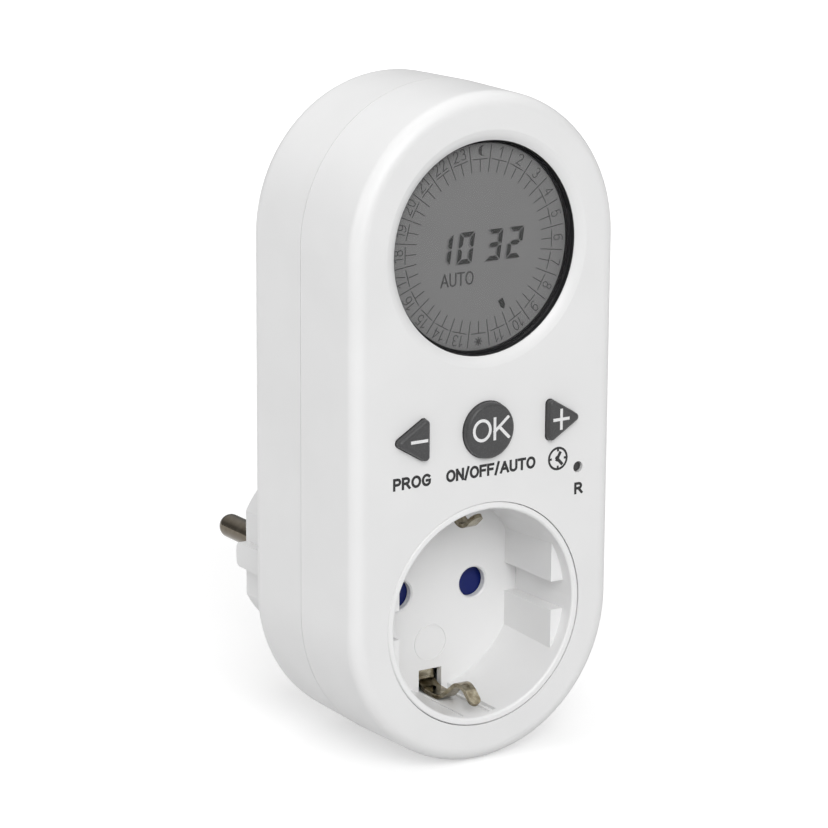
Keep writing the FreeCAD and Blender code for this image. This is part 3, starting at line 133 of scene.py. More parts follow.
# Printed legends on the front face: text, lower left corner, height, width and letter gap
INK_THICKNESS = 0.03
LEGEND_STROKE = 0.5
LETTER_GAP = 0.09
LEGEND_FOOT = 26.1
LEGEND_HEIGHT = 2.3
LEGENDS = [
    ("PROG", (-20.1, LEGEND_FOOT), LEGEND_HEIGHT, 8.2, 0.02),
    ("ON/OFF/AUTO", (-8.76, LEGEND_FOOT), LEGEND_HEIGHT, 19.6, 0.0),
    ("R", (19.69, 19.77), 2.25, 1.92, LETTER_GAP),
]
CLOCK_PLACE = (15.85, 27.16)
CLOCK_RADIUS = 2.0
CLOCK_STROKE = 0.42
CLOCK_MARKS = 4
MARK_INNER = 1.35
HAND_STROKE = 0.6
HANDS = [((-0.35, -0.45), (0.6, 1.25)), ((-0.45, 0.35), (1.05, -1.25))]

# Signs on the keys
SIGN_X = 15.47
SIGN_WIDTH = 3.62
SIGN_STROKE = 0.57
PLUS_HEIGHT = 3.95
OK_HEIGHT = 4.25
OK_WIDTH = 8.1
OK_GAP = 0.06
OK_RISE = 0.2

# Drawing of flat shapes: an arc's steps, a mitre's limit, and what counts as no length or area
ARC_STEP = 9
ARC_LEAST_STEPS = 4
SAME_PLACE = 1e-9
MITRE_LIMIT = 0.35
SMALLEST_AREA = 1e-6
UNION_CLOSENESS = 1e-5
WITHIN_LINE = 0.01
CLOSED_ENDS = 1e-6

# Studio, in metres: each lamp has its name, place, size and watts
LAMP_AIM = (0, -0.04, 0.03)
LAMPS = [
    ("key", (-0.9, -2.3, 1.6), (1.6, 1.6), 46.0),
    ("left", (-2.6, 0.45, 0.35), (0.9, 2.0), 10.5),
    ("right", (2.4, -1.3, 0.7), (1.4, 1.6), 1.5),
    ("top", (0.0, 0.5, 2.4), (1.8, 1.8), 9.5),
]
FLOOR_REACH = 4.0
FLOOR_WHITE = 0.6
FLOOR_UNEVEN = 1.02
FLOOR_PATCH = 0.4
FLOOR_ROUGHNESS = 0.9

# The floor's glow rises over one range of distances and fades over the next, in metres
GLOW_NEAR = 0.5
GLOW_FAR = 0.95
GLOW_RIM = 0.1
GLOW_RISES = (0.2, 0.9)
GLOW_FADES = (1.6, 3.6)

# The world lights more along one axis, and its backdrop pales with height
WORLD_LOW = 0.12
WORLD_HIGH = 0.72
WORLD_AXIS = (-0.6, -0.25, 0.76)
WORLD_RANGE = (-0.6, 0.8)
BACKDROP_LOW = 0.3
BACKDROP_HIGH = 1.0
BACKDROP_RANGE = (0.3, 0.65)

# Photograph's camera, in degrees, millimetres and pixels, from where the socket's axis meets the front
CAMERA_AZIMUTH = -33.447
CAMERA_ELEVATION = 14.059
CAMERA_ROLL = 0.354
CAMERA_DISTANCE = 606.954
CAMERA_SIDE = -12.905
CAMERA_RISE = 36.528
FOCAL_PIXELS = 3327.8
IMAGE_PIXELS = 828
SENSOR = 36.0
CLIP_NEAR = 50
CLIP_FAR = 20000


def at(x, depth, z):
    """A point in metres from millimetres and a depth behind the front face."""
    return Vector((x * MM, (FRONT + depth) * MM, z * MM))


# Shader building blocks

def new_material(name):
    """A material with its Principled shader."""
    material = bpy.data.materials.new(name)
    material.use_nodes = True
    tree = material.node_tree
    return material, tree, tree.nodes["Principled BSDF"]


def grey(value):
    """A neutral colour."""
    return (value, value, value)


def noise(tree, size, detail=3.0, distortion=0.0):
    """Noise in object space whose blobs are about as large as stated, in millimetres."""
    coords = tree.nodes.new("ShaderNodeTexCoord")
    node = tree.nodes.new("ShaderNodeTexNoise")
    node.inputs["Scale"].default_value = 1.0 / (size * MM)
    node.inputs["Detail"].default_value = detail
    node.inputs["Distortion"].default_value = distortion
    tree.links.new(coords.outputs["Object"], node.inputs["Vector"])
    return node.outputs["Fac"]


def spread(tree, factor, low, high, start=0.3, end=0.7):
    """Map a factor onto a range of numbers."""
    node = tree.nodes.new("ShaderNodeMapRange")
    node.inputs["From Min"].default_value = start
    node.inputs["From Max"].default_value = end
    node.inputs["To Min"].default_value = low
    node.inputs["To Max"].default_value = high
    tree.links.new(factor, node.inputs["Value"])
    return node.outputs["Result"]


def tint(tree, shader, factor, first, second, start=0.3, end=0.7):
    """Blend a shader's base colour between two colours by a factor."""
    ramp = tree.nodes.new("ShaderNodeValToRGB")
    ramp.color_ramp.elements[0].position = start
    ramp.color_ramp.elements[0].color = (*first, 1)
    ramp.color_ramp.elements[1].position = end
    ramp.color_ramp.elements[1].color = (*second, 1)
    tree.links.new(factor, ramp.inputs["Fac"])
    tree.links.new(ramp.outputs["Color"], shader.inputs["Base Color"])


def roughen(tree, shader, factor, low, high):
    """Vary a shader's roughness by a factor."""
    tree.links.new(spread(tree, factor, low, high), shader.inputs["Roughness"])


def bump(tree, shader, height, depth, below=None):
    """Bump of a real depth in millimetres on a shader, on top of another bump if one is given."""
    node = tree.nodes.new("ShaderNodeBump")
    node.inputs["Strength"].default_value = 1.0
    node.inputs["Distance"].default_value = depth * MM
    tree.links.new(height, node.inputs["Height"])
    if below is not None:
        tree.links.new(below, node.inputs["Normal"])
    tree.links.new(node.outputs["Normal"], shader.inputs["Normal"])
    return node.outputs["Normal"]


def calculated(tree, operation, first, second):
    """The result of a calculation with two values."""
    node = tree.nodes.new("ShaderNodeMath")
    node.operation = operation
    tree.links.new(first, node.inputs[0])
    tree.links.new(second, node.inputs[1])
    return node.outputs["Value"]


def mixed(tree, factor, first, second):
    """One shader where a factor is nought and another where it is one."""
    node = tree.nodes.new("ShaderNodeMixShader")
    tree.links.new(factor, node.inputs["Fac"])
    tree.links.new(first, node.inputs[1])
    tree.links.new(second, node.inputs[2])
    return node.outputs["Shader"]


def seen_directly(tree):
    """One for camera, glossy and transmission rays."""
    path = tree.nodes.new("ShaderNodeLightPath")
    first = calculated(tree, "MAXIMUM", path.outputs["Is Camera Ray"], path.outputs["Is Glossy Ray"])
    return calculated(tree, "MAXIMUM", first, path.outputs["Is Transmission Ray"])


# Kinds of material, with sizes and depths in millimetres

def moulded(name, color, roughness, grain=0.18, grain_depth=0.004, shade=0.03, gloss=0.5):
    """Moulded plastic: spark-eroded grain, slight flow shading and uneven gloss."""
    flow = 16.0
    patch = 5.0
    wave = 9.0
    uneven = 0.04
    material, tree, shader = new_material(name)
    darker = [tone * (1 - shade) for tone in color]
    tint(tree, shader, noise(tree, flow, detail=2.0), darker, color)
    roughen(tree, shader, noise(tree, patch), roughness - uneven, roughness + uneven)
    waves = bump(tree, shader, noise(tree, wave, detail=1.0), grain_depth * 2)
    bump(tree, shader, noise(tree, grain, detail=2.0), grain_depth, waves)
    shader.inputs["Specular IOR Level"].default_value = gloss
    return material


def metal(name, color, dull, roughness, scratch_depth=0.003):
    """Plated or bare metal with stains, handling marks and fine drawing lines."""
    stain = 1.6
    stain_start = 0.32
    stain_end = 0.82
    mark = 0.7
    least = 0.7
    most = 1.5
    lines_per_metre = (6000.0, 500.0, 6000.0)
    material, tree, shader = new_material(name)
    shader.inputs["Metallic"].default_value = 1.0
    stains = noise(tree, stain, detail=5.0, distortion=0.6)
    tint(tree, shader, stains, dull, color, stain_start, stain_end)
    marks = noise(tree, mark, detail=4.0)
    roughen(tree, shader, marks, roughness * least, roughness * most)
    coords = tree.nodes.new("ShaderNodeTexCoord")
    stretch = tree.nodes.new("ShaderNodeMapping")
    stretch.inputs["Scale"].default_value = lines_per_metre
    lines = tree.nodes.new("ShaderNodeTexNoise")
    lines.inputs["Scale"].default_value = 1.0
    tree.links.new(coords.outputs["Object"], stretch.inputs["Vector"])
    tree.links.new(stretch.outputs["Vector"], lines.inputs["Vector"])
    bump(tree, shader, lines.outputs["Fac"], scratch_depth)
    return material


def rubbery(name, color, roughness):
    """Soft plastic or rubber with fine pale speckle and a faint sheen."""
    speckle = 0.22
    paler = 1.35
    dust = 0.004
    patch = 1.5
    smoother = 0.05
    rougher = 0.08
    grain = 0.16
    grain_depth = 0.006
    sheen = 0.08
    material, tree, shader = new_material(name)
    lighter = [tone * paler + dust for tone in color]
    tint(tree, shader, noise(tree, speckle, detail=4.0), color, lighter, start=0.45, end=0.7)
    roughen(tree, shader, noise(tree, patch), roughness - smoother, roughness + rougher)
    bump(tree, shader, noise(tree, grain), grain_depth)
    shader.inputs["Sheen Weight"].default_value = sheen
    return material


def printed(name, color, roughness=0.55, gloss=0.5):
    """Pad-printed ink with slightly uneven cover, also used for the painted shadow behind the display's
    digits.
    """
    cover = 0.25
    faded = 0.9
    dust = 0.006
    patch = 0.4
    uneven = 0.08
    grain = 0.12
    grain_depth = 0.003
    material, tree, shader = new_material(name)
    thin = [tone * faded + dust for tone in color]
    tint(tree, shader, noise(tree, cover, detail=4.0), thin, color, start=0.35, end=0.6)
    roughen(tree, shader, noise(tree, patch), roughness - uneven, roughness + uneven)
    bump(tree, shader, noise(tree, grain, detail=2.0), grain_depth)
    shader.inputs["Specular IOR Level"].default_value = gloss
    return material


def clear(name, color, index, haze=0.0):
    """Clear sheet or glass that lets shadow rays and diffuse light through."""
    cloud = 8.0
    faded = 0.985
    patch = 2.5
    material, tree, shader = new_material(name)
    clouded = [tone * faded for tone in color]
    tint(tree, shader, noise(tree, cloud), clouded, color)
    roughen(tree, shader, noise(tree, patch), 0.0, haze)
    shader.inputs["Transmission Weight"].default_value = 1.0
    shader.inputs["IOR"].default_value = index
    path = tree.nodes.new("ShaderNodeLightPath")
    lit = calculated(tree, "MAXIMUM", path.outputs["Is Shadow Ray"], path.outputs["Is Diffuse Ray"])
    through = tree.nodes.new("ShaderNodeBsdfTransparent")
    surface = mixed(tree, lit, shader.outputs["BSDF"], through.outputs["BSDF"])
    tree.links.new(surface, tree.nodes["Material Output"].inputs["Surface"])
    return material


def laminate(name, color, paler, darker):
    """Solder mask over glass cloth, with a faint weave."""
    weaves_per_metre = 160.0
    patch = 3.0
    smoothest = 0.25
    roughest = 0.4
    weave_depth = 0.01
    material, tree, shader = new_material(name)
    coords = tree.nodes.new("ShaderNodeTexCoord")
    weave = tree.nodes.new("ShaderNodeTexBrick")
    weave.inputs["Scale"].default_value = weaves_per_metre
    weave.inputs["Color1"].default_value = (*color, 1)
    weave.inputs["Color2"].default_value = (*paler, 1)
    weave.inputs["Mortar"].default_value = (*darker, 1)
    tree.links.new(coords.outputs["Object"], weave.inputs["Vector"])
    tree.links.new(weave.outputs["Color"], shader.inputs["Base Color"])
    roughen(tree, shader, noise(tree, patch), smoothest, roughest)
    bump(tree, shader, weave.outputs["Fac"], weave_depth)
    return material


# The record's material slots, each with its kind and values
FINISHES = {
    "housing_white": (moulded, dict(color=grey(0.77), roughness=0.42, grain=0.16, grain_depth=0.003)),
    "socket_white": (moulded, dict(color=grey(0.80), roughness=0.34, grain=0.3, grain_depth=0.0006,
                                   shade=0.01)),
    "shutter_blue": (moulded, dict(color=(0.004, 0.012, 0.12), roughness=0.4, grain=0.3,
                                   grain_depth=0.003, shade=0.15, gloss=0.3)),
    "spring_steel": (metal, dict(color=(0.62, 0.62, 0.61), dull=(0.40, 0.40, 0.39), roughness=0.25)),
    "inner_plastic": (moulded, dict(color=(0.55, 0.55, 0.52), roughness=0.5)),
    "contact_brass": (metal, dict(color=(0.80, 0.58, 0.28), dull=(0.48, 0.30, 0.12), roughness=0.28)),
    "earth_metal": (metal, dict(color=(0.60, 0.555, 0.43), dull=(0.17, 0.135, 0.08), roughness=0.16)),
    "pin_nickel": (metal, dict(color=(0.17, 0.148, 0.115), dull=(0.12, 0.10, 0.075), roughness=0.15,
                               scratch_depth=0.0005)),
    "bezel_black": (moulded, dict(color=(0.012, 0.012, 0.013), roughness=0.45, grain=0.2, shade=0.2)),
    "window_clear": (clear, dict(color=grey(0.98), index=1.12)),
    "polarizer_film": (moulded, dict(color=grey(0.198), roughness=0.6, grain=0.3, grain_depth=0.0004,
                                     gloss=0.0)),
    "lcd_glass": (clear, dict(color=(0.90, 0.94, 0.92), index=1.52, haze=0.02)),
    "reflector_film": (metal, dict(color=grey(0.60), dull=grey(0.50), roughness=0.4)),
    "foam_black": (rubbery, dict(color=grey(0.02), roughness=0.8)),
    "zebra_rubber": (rubbery, dict(color=(0.30, 0.27, 0.24), roughness=0.7)),
    "key_grey": (rubbery, dict(color=(0.037, 0.037, 0.038), roughness=0.40)),
    "mat_silicone": (rubbery, dict(color=grey(0.28), roughness=0.6)),
    "switch_black": (moulded, dict(color=grey(0.03), roughness=0.4)),
    "plunger_black": (moulded, dict(color=grey(0.02), roughness=0.35)),
    "board_green": (laminate, dict(color=(0.02, 0.17, 0.07), paler=(0.03, 0.21, 0.09),
                                   darker=(0.015, 0.12, 0.05))),
    "resin_black": (moulded, dict(color=grey(0.015), roughness=0.2, grain=1.2, grain_depth=0.01)),
    "crystal_can": (metal, dict(color=(0.66, 0.66, 0.64), dull=(0.46, 0.46, 0.44), roughness=0.2)),
    "cell_steel": (metal, dict(color=(0.64, 0.64, 0.63), dull=(0.42, 0.42, 0.41), roughness=0.25)),
    "tab_steel": (metal, dict(color=(0.60, 0.58, 0.55), dull=(0.40, 0.38, 0.36), roughness=0.3)),
    "link_pins": (metal, dict(color=(0.64, 0.60, 0.50), dull=(0.40, 0.36, 0.28), roughness=0.3)),
    "relay_case": (moulded, dict(color=(0.03, 0.08, 0.26), roughness=0.3)),
    "capacitor_case": (moulded, dict(color=(0.62, 0.46, 0.06), roughness=0.35)),
    "electrolytic_sleeve": (moulded, dict(color=(0.02, 0.025, 0.05), roughness=0.25)),
    "varistor_coat": (moulded, dict(color=(0.03, 0.09, 0.27), roughness=0.35)),
    "diode_black": (moulded, dict(color=grey(0.02), roughness=0.3)),
    "resistor_coat": (moulded, dict(color=(0.34, 0.42, 0.44), roughness=0.5)),
    "transistor_black": (moulded, dict(color=grey(0.02), roughness=0.45)),
    "lead_brown": (moulded, dict(color=(0.10, 0.04, 0.015), roughness=0.35)),
    "lead_blue": (moulded, dict(color=(0.015, 0.07, 0.28), roughness=0.35)),
    "screw_steel": (metal, dict(color=(0.58, 0.58, 0.56), dull=(0.38, 0.38, 0.36), roughness=0.28)),
}
SLOTS = {name: kind(name, **values) for name, (kind, values) in FINISHES.items()}
INK_BLACK = printed("ink_black", (0.008, 0.008, 0.009))
INK_WHITE = printed("ink_white", grey(0.78))
LCD_DIAL = printed("lcd_dial", grey(0.078), roughness=0.6, gloss=0.0)
LCD_MARK = printed("lcd_mark", grey(0.052), roughness=0.6, gloss=0.0)
# Painted shadow of the lit digits, as a mid-grey sheet on the film
LCD_SHADOW = printed("lcd_painted_shadow", grey(0.145), roughness=0.6, gloss=0.0)


def dress_nodes():
    """Give every CAD node its slot's material."""
    for part in frame["record"]["subparts"]:
        node = frame["nodes"][part["node"]]
        node.data.materials.clear()
        node.data.materials.append(SLOTS[part["material_slot"]])


# Flat marks, drawn in the plane of the front as lists of corners, in millimetres

def outline_points(*pieces):
    """Join points and arcs into one polyline. An arc is centre, radii, start and end angle."""
    points = []
    for piece in pieces:
        if len(piece) == 2:
            points.append(piece)
            continue
        u, v, across, up, start, end = piece
        steps = max(ARC_LEAST_STEPS, int(abs(end - start) / ARC_STEP))
        for i in range(steps + 1):
            angle = math.radians(start + (end - start) * i / steps)
            points.append((u + across * math.cos(angle), v + up * math.sin(angle)))
    return points


def left_of(start, end):
    """The unit direction to the left of a stretch."""
    along = (end - start).normalized()
    return Vector((-along.y, along.x))


def ribbon(points, width, closed=False, cap=0.0):
    """Quads along a polyline with mitred corners and, when open, lengthened ends."""
    points = [Vector(point) for point in points]
    if not closed:
        points[0] = points[0] + (points[0] - points[1]).normalized() * cap
        points[-1] = points[-1] + (points[-1] - points[-2]).normalized() * cap
    count = len(points)
    left = []
    right = []
    for i, here in enumerate(points):
        sides = []
        behind = points[i - 1]
        ahead = points[(i + 1) % count]
        if (closed or i > 0) and (here - behind).length > SAME_PLACE:
            sides.append(left_of(behind, here))
        if (closed or i < count - 1) and (ahead - here).length > SAME_PLACE:
            sides.append(left_of(here, ahead))
        normal = sum(sides, Vector((0, 0))).normalized()
        reach = width / 2 / max(MITRE_LIMIT, normal.dot(sides[0]))
        left.append(here + normal * reach)
        right.append(here - normal * reach)
    quads = []
    for i in range(count if closed else count - 1):
        j = (i + 1) % count
        quads.append([left[i], left[j], right[j], right[i]])
    return quads


def polygon(points):
    """One filled shape."""
    return [[Vector(point) for point in points]]


def ray(angle, inner, outer, width):
    """A straight stroke that points away from the middle."""
    way = Vector((math.cos(angle), math.sin(angle)))
    return ribbon([way * inner, way * outer], width)


def clipped(face, low, high):
    """Cut a flat face off below one height and above another."""
    for limit, sign in ((low, 1), (high, -1)):
        kept = []
        for i, here in enumerate(face):
            before = face[i - 1]
            last = sign * (before.y - limit)
            this = sign * (here.y - limit)
            if (last < 0) != (this < 0):
                kept.append(before + (here - before) * (last / (last - this)))
            if this >= 0:
                kept.append(here)
        face = kept
    return face


def moved(faces, x, z, turn=0.0, centre=(0.0, 0.0)):
    """Turn faces about a centre and carry that centre to a place."""
    turned = Matrix.Rotation(turn, 2)
    place = Vector((x, z))
    return [[place + turned @ (point - Vector(centre)) for point in face] for face in faces]


def touching(first, second):
    """Whether two convex faces meet: no edge of either has the other wholly beyond it."""
    for face, other in ((first, second), (second, first)):
        for i, here in enumerate(face):
            edge = here - face[i - 1]
            across = Vector((-edge.y, edge.x))
            own = [across.dot(point) for point in face]
            others = [across.dot(point) for point in other]
            if max(own) < min(others) or max(others) < min(own):
                return False
    return True


def grouped(faces):
    """Sort flat faces into groups that touch one another."""
    groups = []
    for face in faces:
        members = [face]
        apart = []
        for group in groups:
            if any(touching(face, other) for other in group):
                members += group
            else:
                apart.append(group)
        groups = apart + [members]
    return groups


def holds(corners, point):
    """Whether a counterclockwise triangle holds a point."""
    return all((corners[i] - corners[i - 1]).cross(point - corners[i - 1]) > 0 for i in range(3))


def merged(faces):
    """Join overlapping flat faces into points and triangles that don't overlap."""
    drawn = []
    for face in faces:
        for i in range(1, len(face) - 1):
            corners = [face[0], face[i], face[i + 1]]
            area = (corners[1] - corners[0]).cross(corners[2] - corners[0])
            if abs(area) > SMALLEST_AREA:
                drawn.append(corners if area > 0 else corners[::-1])
    points = [corner for corners in drawn for corner in corners]
    pieces = [(3 * i, 3 * i + 1, 3 * i + 2) for i in range(len(drawn))]
    result = delaunay_2d_cdt(points, [], pieces, 0, UNION_CLOSENESS)
    triangles = []
    for triangle in result[2]:
        middle = sum((result[0][i] for i in triangle), Vector((0, 0))) / 3
        if any(holds(corners, middle) for corners in drawn):
            triangles.append(list(triangle))
    return result[0], triangles


def flat_piece(name, faces, front, thickness, material, body):
    """Thin solid piece from flat faces, with its front at a depth, riding on a body."""
    points = []
    triangles = []
    for group in grouped(faces):
        more, shapes = merged(group)
        triangles += [[len(points) + i for i in shape] for shape in shapes]
        points += more
    count = len(points)
    vertices = []
    for depth in (front, front + thickness):
        vertices += [at(point.x, depth, point.y) for point in points]
    edges = set()
    shapes = []
    for triangle in triangles:
        shapes.append(triangle)
        shapes.append([count + i for i in reversed(triangle)])
        edges.update(zip(triangle, triangle[1:] + triangle[:1]))
    for start, end in sorted(edges):
        if (end, start) not in edges:
            shapes.append([end, start, count + start, count + end])
    mesh = bpy.data.meshes.new(name)
    mesh.from_pydata(vertices, [], shapes)
    mesh.materials.append(material)
    mesh.validate()
    face_outwards(mesh)
    piece = bpy.data.objects.new(name, mesh)
    bpy.context.collection.objects.link(piece)
    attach(piece, body)


def face_outwards(mesh):
    """Turn a closed mesh's faces outwards."""
    work = bmesh.new()
    work.from_mesh(mesh)
    bmesh.ops.recalc_face_normals(work, faces=work.faces)
    work.to_mesh(mesh)
    work.free()


# Monoline letters and numerals: width, and strokes on a centre line one unit high
GLYPHS = {
    "P": (0.58, [[(0, 0), (0, 1), (0.32, 1), (0.32, 0.73, 0.26, 0.27, 90, -90), (0, 0.46)]]),
    "R": (0.66, [[(0, 0), (0, 1), (0.34, 1), (0.34, 0.74, 0.25, 0.26, 90, -90), (0, 0.48)],
                 [(0.34, 0.48), (0.66, 0)]]),
    "O": (0.76, [[(0.38, 0.5, 0.38, 0.5, 90, 450)]]),
    "G": (0.76, [[(0.38, 0.5, 0.38, 0.5, 48, 322), (0.70, 0.46), (0.40, 0.46)]]),
    "N": (0.62, [[(0, 0), (0, 1)], [(0, 1), (0.62, 0)], [(0.62, 0), (0.62, 1)]]),
    "F": (0.54, [[(0, 0), (0, 1), (0.54, 1)], [(0, 0.52), (0.46, 0.52)]]),
    "A": (0.76, [[(0, 0), (0.38, 1)], [(0.38, 1), (0.76, 0)], [(0.13, 0.33), (0.63, 0.33)]]),
    "U": (0.62, [[(0, 1), (0.31, 0.31, 0.31, 0.31, 180, 360), (0.62, 1)]]),
    "T": (0.66, [[(0, 1), (0.66, 1)], [(0.33, 0), (0.33, 1)]]),
    "K": (0.66, [[(0, 0), (0, 1)], [(0.62, 1), (0, 0.36)], [(0.22, 0.56), (0.66, 0)]]),
    "/": (0.30, [[(0, -0.08), (0.30, 1.08)]]),
    "0": (0.50, [[(0.25, 0.5, 0.25, 0.5, 90, 450)]]),
    "1": (0.30, [[(0, 0.74), (0.12, 0.81), (0.26, 1), (0.26, 0)]]),
    "2": (0.52, [[(0.26, 0.74, 0.25, 0.26, 165, -28), (0, 0), (0.52, 0)]]),
    "3": (0.50, [[(0.25, 0.76, 0.22, 0.24, 150, -90)], [(0.25, 0.27, 0.25, 0.27, 90, -150)]]),
    "4": (0.56, [[(0.42, 0), (0.42, 1), (0, 0.30), (0.56, 0.30)]]),
    "5": (0.52, [[(0.47, 1), (0.10, 1), (0.03, 0.50), (0.25, 0.32, 0.26, 0.32, 128, -145)]]),
    "6": (0.50, [[(0.25, 0.31, 0.25, 0.31, 90, 450)], [(0.36, 0.58, 0.36, 0.42, 60, 205)]]),
    "7": (0.50, [[(0, 1), (0.50, 1), (0.17, 0)]]),
    "8": (0.50, [[(0.25, 0.76, 0.21, 0.24, 90, 450)], [(0.25, 0.27, 0.25, 0.27, 90, 450)]]),
    "9": (0.50, [[(0.25, 0.69, 0.25, 0.31, 90, 450)], [(0.14, 0.42, 0.36, 0.42, -120, 25)]]),
}


def text_faces(text, height, stroke, width=None, gap=LETTER_GAP):
    """Faces and width of a line of text from its lower left corner, stretched if a width is given."""
    span = height - stroke
    cursor = 0.0
    strokes = []
    for letter in text:
        advance, paths = GLYPHS[letter]
        for path in paths:
            points = outline_points(*path)
            within = all(-WITHIN_LINE < v < 1 + WITHIN_LINE for u, v in points)
            strokes.append(([(cursor + u * span, v * span) for u, v in points], within))
        cursor += advance * span + stroke + gap * span
    natural = cursor - gap * span - stroke
    stretch = (width - stroke) / natural if width else 1.0
    faces = []
    for points, within in strokes:
        placed = [(stroke / 2 + u * stretch, stroke / 2 + v) for u, v in points]
        closed = (Vector(placed[0]) - Vector(placed[-1])).length < CLOSED_ENDS
        quads = ribbon(placed[:-1] if closed else placed, stroke, closed, stroke / 2)
        faces += [clipped(quad, 0.0, height) for quad in quads] if within else quads
    return faces, natural * stretch + stroke


# Display

def around(angle, radius):
    """A point of the dial, with the angle clockwise from the top."""
    return Vector((radius * math.sin(angle), DISPLAY_Z + radius * math.cos(angle)))


def hour_faces(hour):
    """An hour's line, half-hour stem, bar and, apart from midnight and noon, numeral."""
    middle = 2 * math.pi * hour / HOURS
    edge = middle + math.pi / HOURS
    faces = ribbon([around(edge, TICK_INNER), around(edge, TICK_OUTER)], TICK_WIDTH)
    faces += ribbon([around(middle, TICK_INNER), around(middle, BAR_RADIUS)], TICK_WIDTH)
    half = Vector((math.cos(middle), -math.sin(middle))) * BAR_LENGTH / 2
    bar = around(middle, BAR_RADIUS)
    faces += ribbon([bar - half, bar + half], TICK_WIDTH)
    if hour not in (0, HOURS // 2):
        glyph, width = text_faces(str(hour), NUMERAL_HEIGHT, TICK_WIDTH, gap=NUMERAL_GAP)
        place = around(middle, NUMERAL_RADIUS)
        faces += moved(glyph, place.x, place.y, -middle, (width / 2, NUMERAL_HEIGHT / 2))
    return faces


def moon_faces():
    """A crescent that opens to the right, as strips between two arcs."""
    outer = []
    inner = []
    for i in range(MOON_STEPS + 1):
        angle = math.radians(MOON_START + MOON_SWEEP * i / MOON_STEPS)
        bite = math.sin(math.pi * i / MOON_STEPS) * MOON_BITE
        across = MOON_RADIUS - bite
        up = MOON_RADIUS - bite * MOON_BITE_UP
        outer.append(Vector((math.cos(angle), math.sin(angle))) * MOON_RADIUS)
        inner.append(Vector((across * math.cos(angle), up * math.sin(angle))))
    return [[outer[i], outer[i + 1], inner[i + 1], inner[i]] for i in range(MOON_STEPS)]


def sun_faces():
    """A small disc with rays."""
    faces = polygon(outline_points((0, 0, SUN_RADIUS, SUN_RADIUS, 0, SUN_SWEEP)))
    for i in range(SUN_RAYS):
        faces += ray(2 * math.pi * i / SUN_RAYS, RAY_INNER, RAY_OUTER, RAY_WIDTH)
    return faces


def dial_faces():
    """The 24-hour dial, with a moon at midnight and a sun at noon."""
    faces = []
    for hour in range(HOURS):
        faces += hour_faces(hour)
    top = around(0.0, NUMERAL_RADIUS)
    faces += moved(moon_faces(), top.x + MOON_SHIFT, top.y)
    foot = around(math.pi, NUMERAL_RADIUS)
    return faces + moved(sun_faces(), foot.x, foot.y)


def segment_shapes(width, height, thick, gap):
    """Outlines of the seven segments in a digit's box, with gaps between them."""
    half = height / 2
    tip = thick / 2
    inner = thick + gap
    return {
        "a": [(gap, height), (width - gap, height), (width - inner, height - thick),
              (inner, height - thick)],
        "d": [(inner, thick), (width - inner, thick), (width - gap, 0), (gap, 0)],
        "b": [(width, height - gap), (width, half + gap), (width - tip, half + gap),
              (width - thick, half + tip + gap), (width - thick, height - inner)],
        "c": [(width, half - gap), (width, gap), (width - thick, inner),
              (width - thick, half - tip - gap), (width - tip, half - gap)],
        "f": [(0, height - gap), (thick, height - inner), (thick, half + tip + gap),
              (tip, half + gap), (0, half + gap)],
        "e": [(0, half - gap), (tip, half - gap), (thick, half - tip - gap), (thick, inner), (0, gap)],
        "g": [(tip + gap, half), (inner, half + tip), (width - inner, half + tip),
              (width - tip - gap, half), (width - inner, half - tip), (inner, half - tip)],
    }


def clock_digits(grow=0.0, shift=(0.0, 0.0)):
    """Lit segments of the shown time, slanted, each digit with its upper right corner in place; grown and
    shifted, they make the digits' painted shadow.
    """
    shapes = segment_shapes(DIGIT_WIDTH, DIGIT_HEIGHT, SEGMENT_WIDTH, SEGMENT_GAP)
    faces = []
    for digit, right in DIGIT_RIGHTS.items():
        left = right - DIGIT_WIDTH - DIGIT_SLANT * DIGIT_HEIGHT + shift[0]
        for key in SEGMENTS[digit]:
            outline = [Vector(corner) for corner in shapes[key]]
            middle = sum(outline, Vector((0, 0))) / len(outline)
            grown = [corner + (corner - middle).normalized() * grow for corner in outline]
            faces += polygon([(left + corner.x + DIGIT_SLANT * corner.y,
                               DIGIT_FOOT + corner.y + shift[1]) for corner in grown])
    return faces


def pointer_faces():
    """The mark that points at the hour on the dial."""
    angle = math.radians(POINTER_ANGLE)
    faces = polygon([(-POINTER_HALF, POINTER_TOP), (POINTER_HALF, POINTER_TOP),
                     (POINTER_HALF, POINTER_SHOULDER), (0.0, POINTER_TIP),
                     (-POINTER_HALF, POINTER_SHOULDER)])
    place = around(angle, POINTER_RADIUS)
    return moved(faces, place.x, place.y, math.pi - angle)


def dress_display():
    """Marks printed and shown on the display, and a painted shadow of the lit digits, just in front of
    its film.
    """
    front = FILM_DEPTH - MARK_THICKNESS
    word = text_faces("AUTO", WORD_HEIGHT, WORD_STROKE, WORD_WIDTH)[0]
    dial = dial_faces() + moved(word, *WORD_PLACE)
    flat_piece("dial_marks", dial, front, MARK_THICKNESS, LCD_DIAL, "timer")
    lit = clock_digits() + pointer_faces()
    flat_piece("lit_marks", lit, front, MARK_THICKNESS, LCD_MARK, "timer")
    # Painted shadow: a grown copy of the digits, shifted left and down, just behind them
    shadow = clock_digits(SHADOW_GROW, SHADOW_SHIFT)
    flat_piece("lit_shadow", shadow, FILM_DEPTH - SHADOW_DEPTH, SHADOW_THICKNESS, LCD_SHADOW, "timer")


# Front face and keys

def clock_faces():
    """A clock dial: ring, marks and two hands."""
    ring = outline_points((0, 0, CLOCK_RADIUS, CLOCK_RADIUS, 0, 360 - ARC_STEP))
    faces = ribbon(ring, CLOCK_STROKE, True)
    for i in range(CLOCK_MARKS):
        faces += ray(2 * math.pi * i / CLOCK_MARKS, MARK_INNER, CLOCK_RADIUS, CLOCK_STROKE)
    for hand in HANDS:
        faces += ribbon(hand, HAND_STROKE)
    return faces


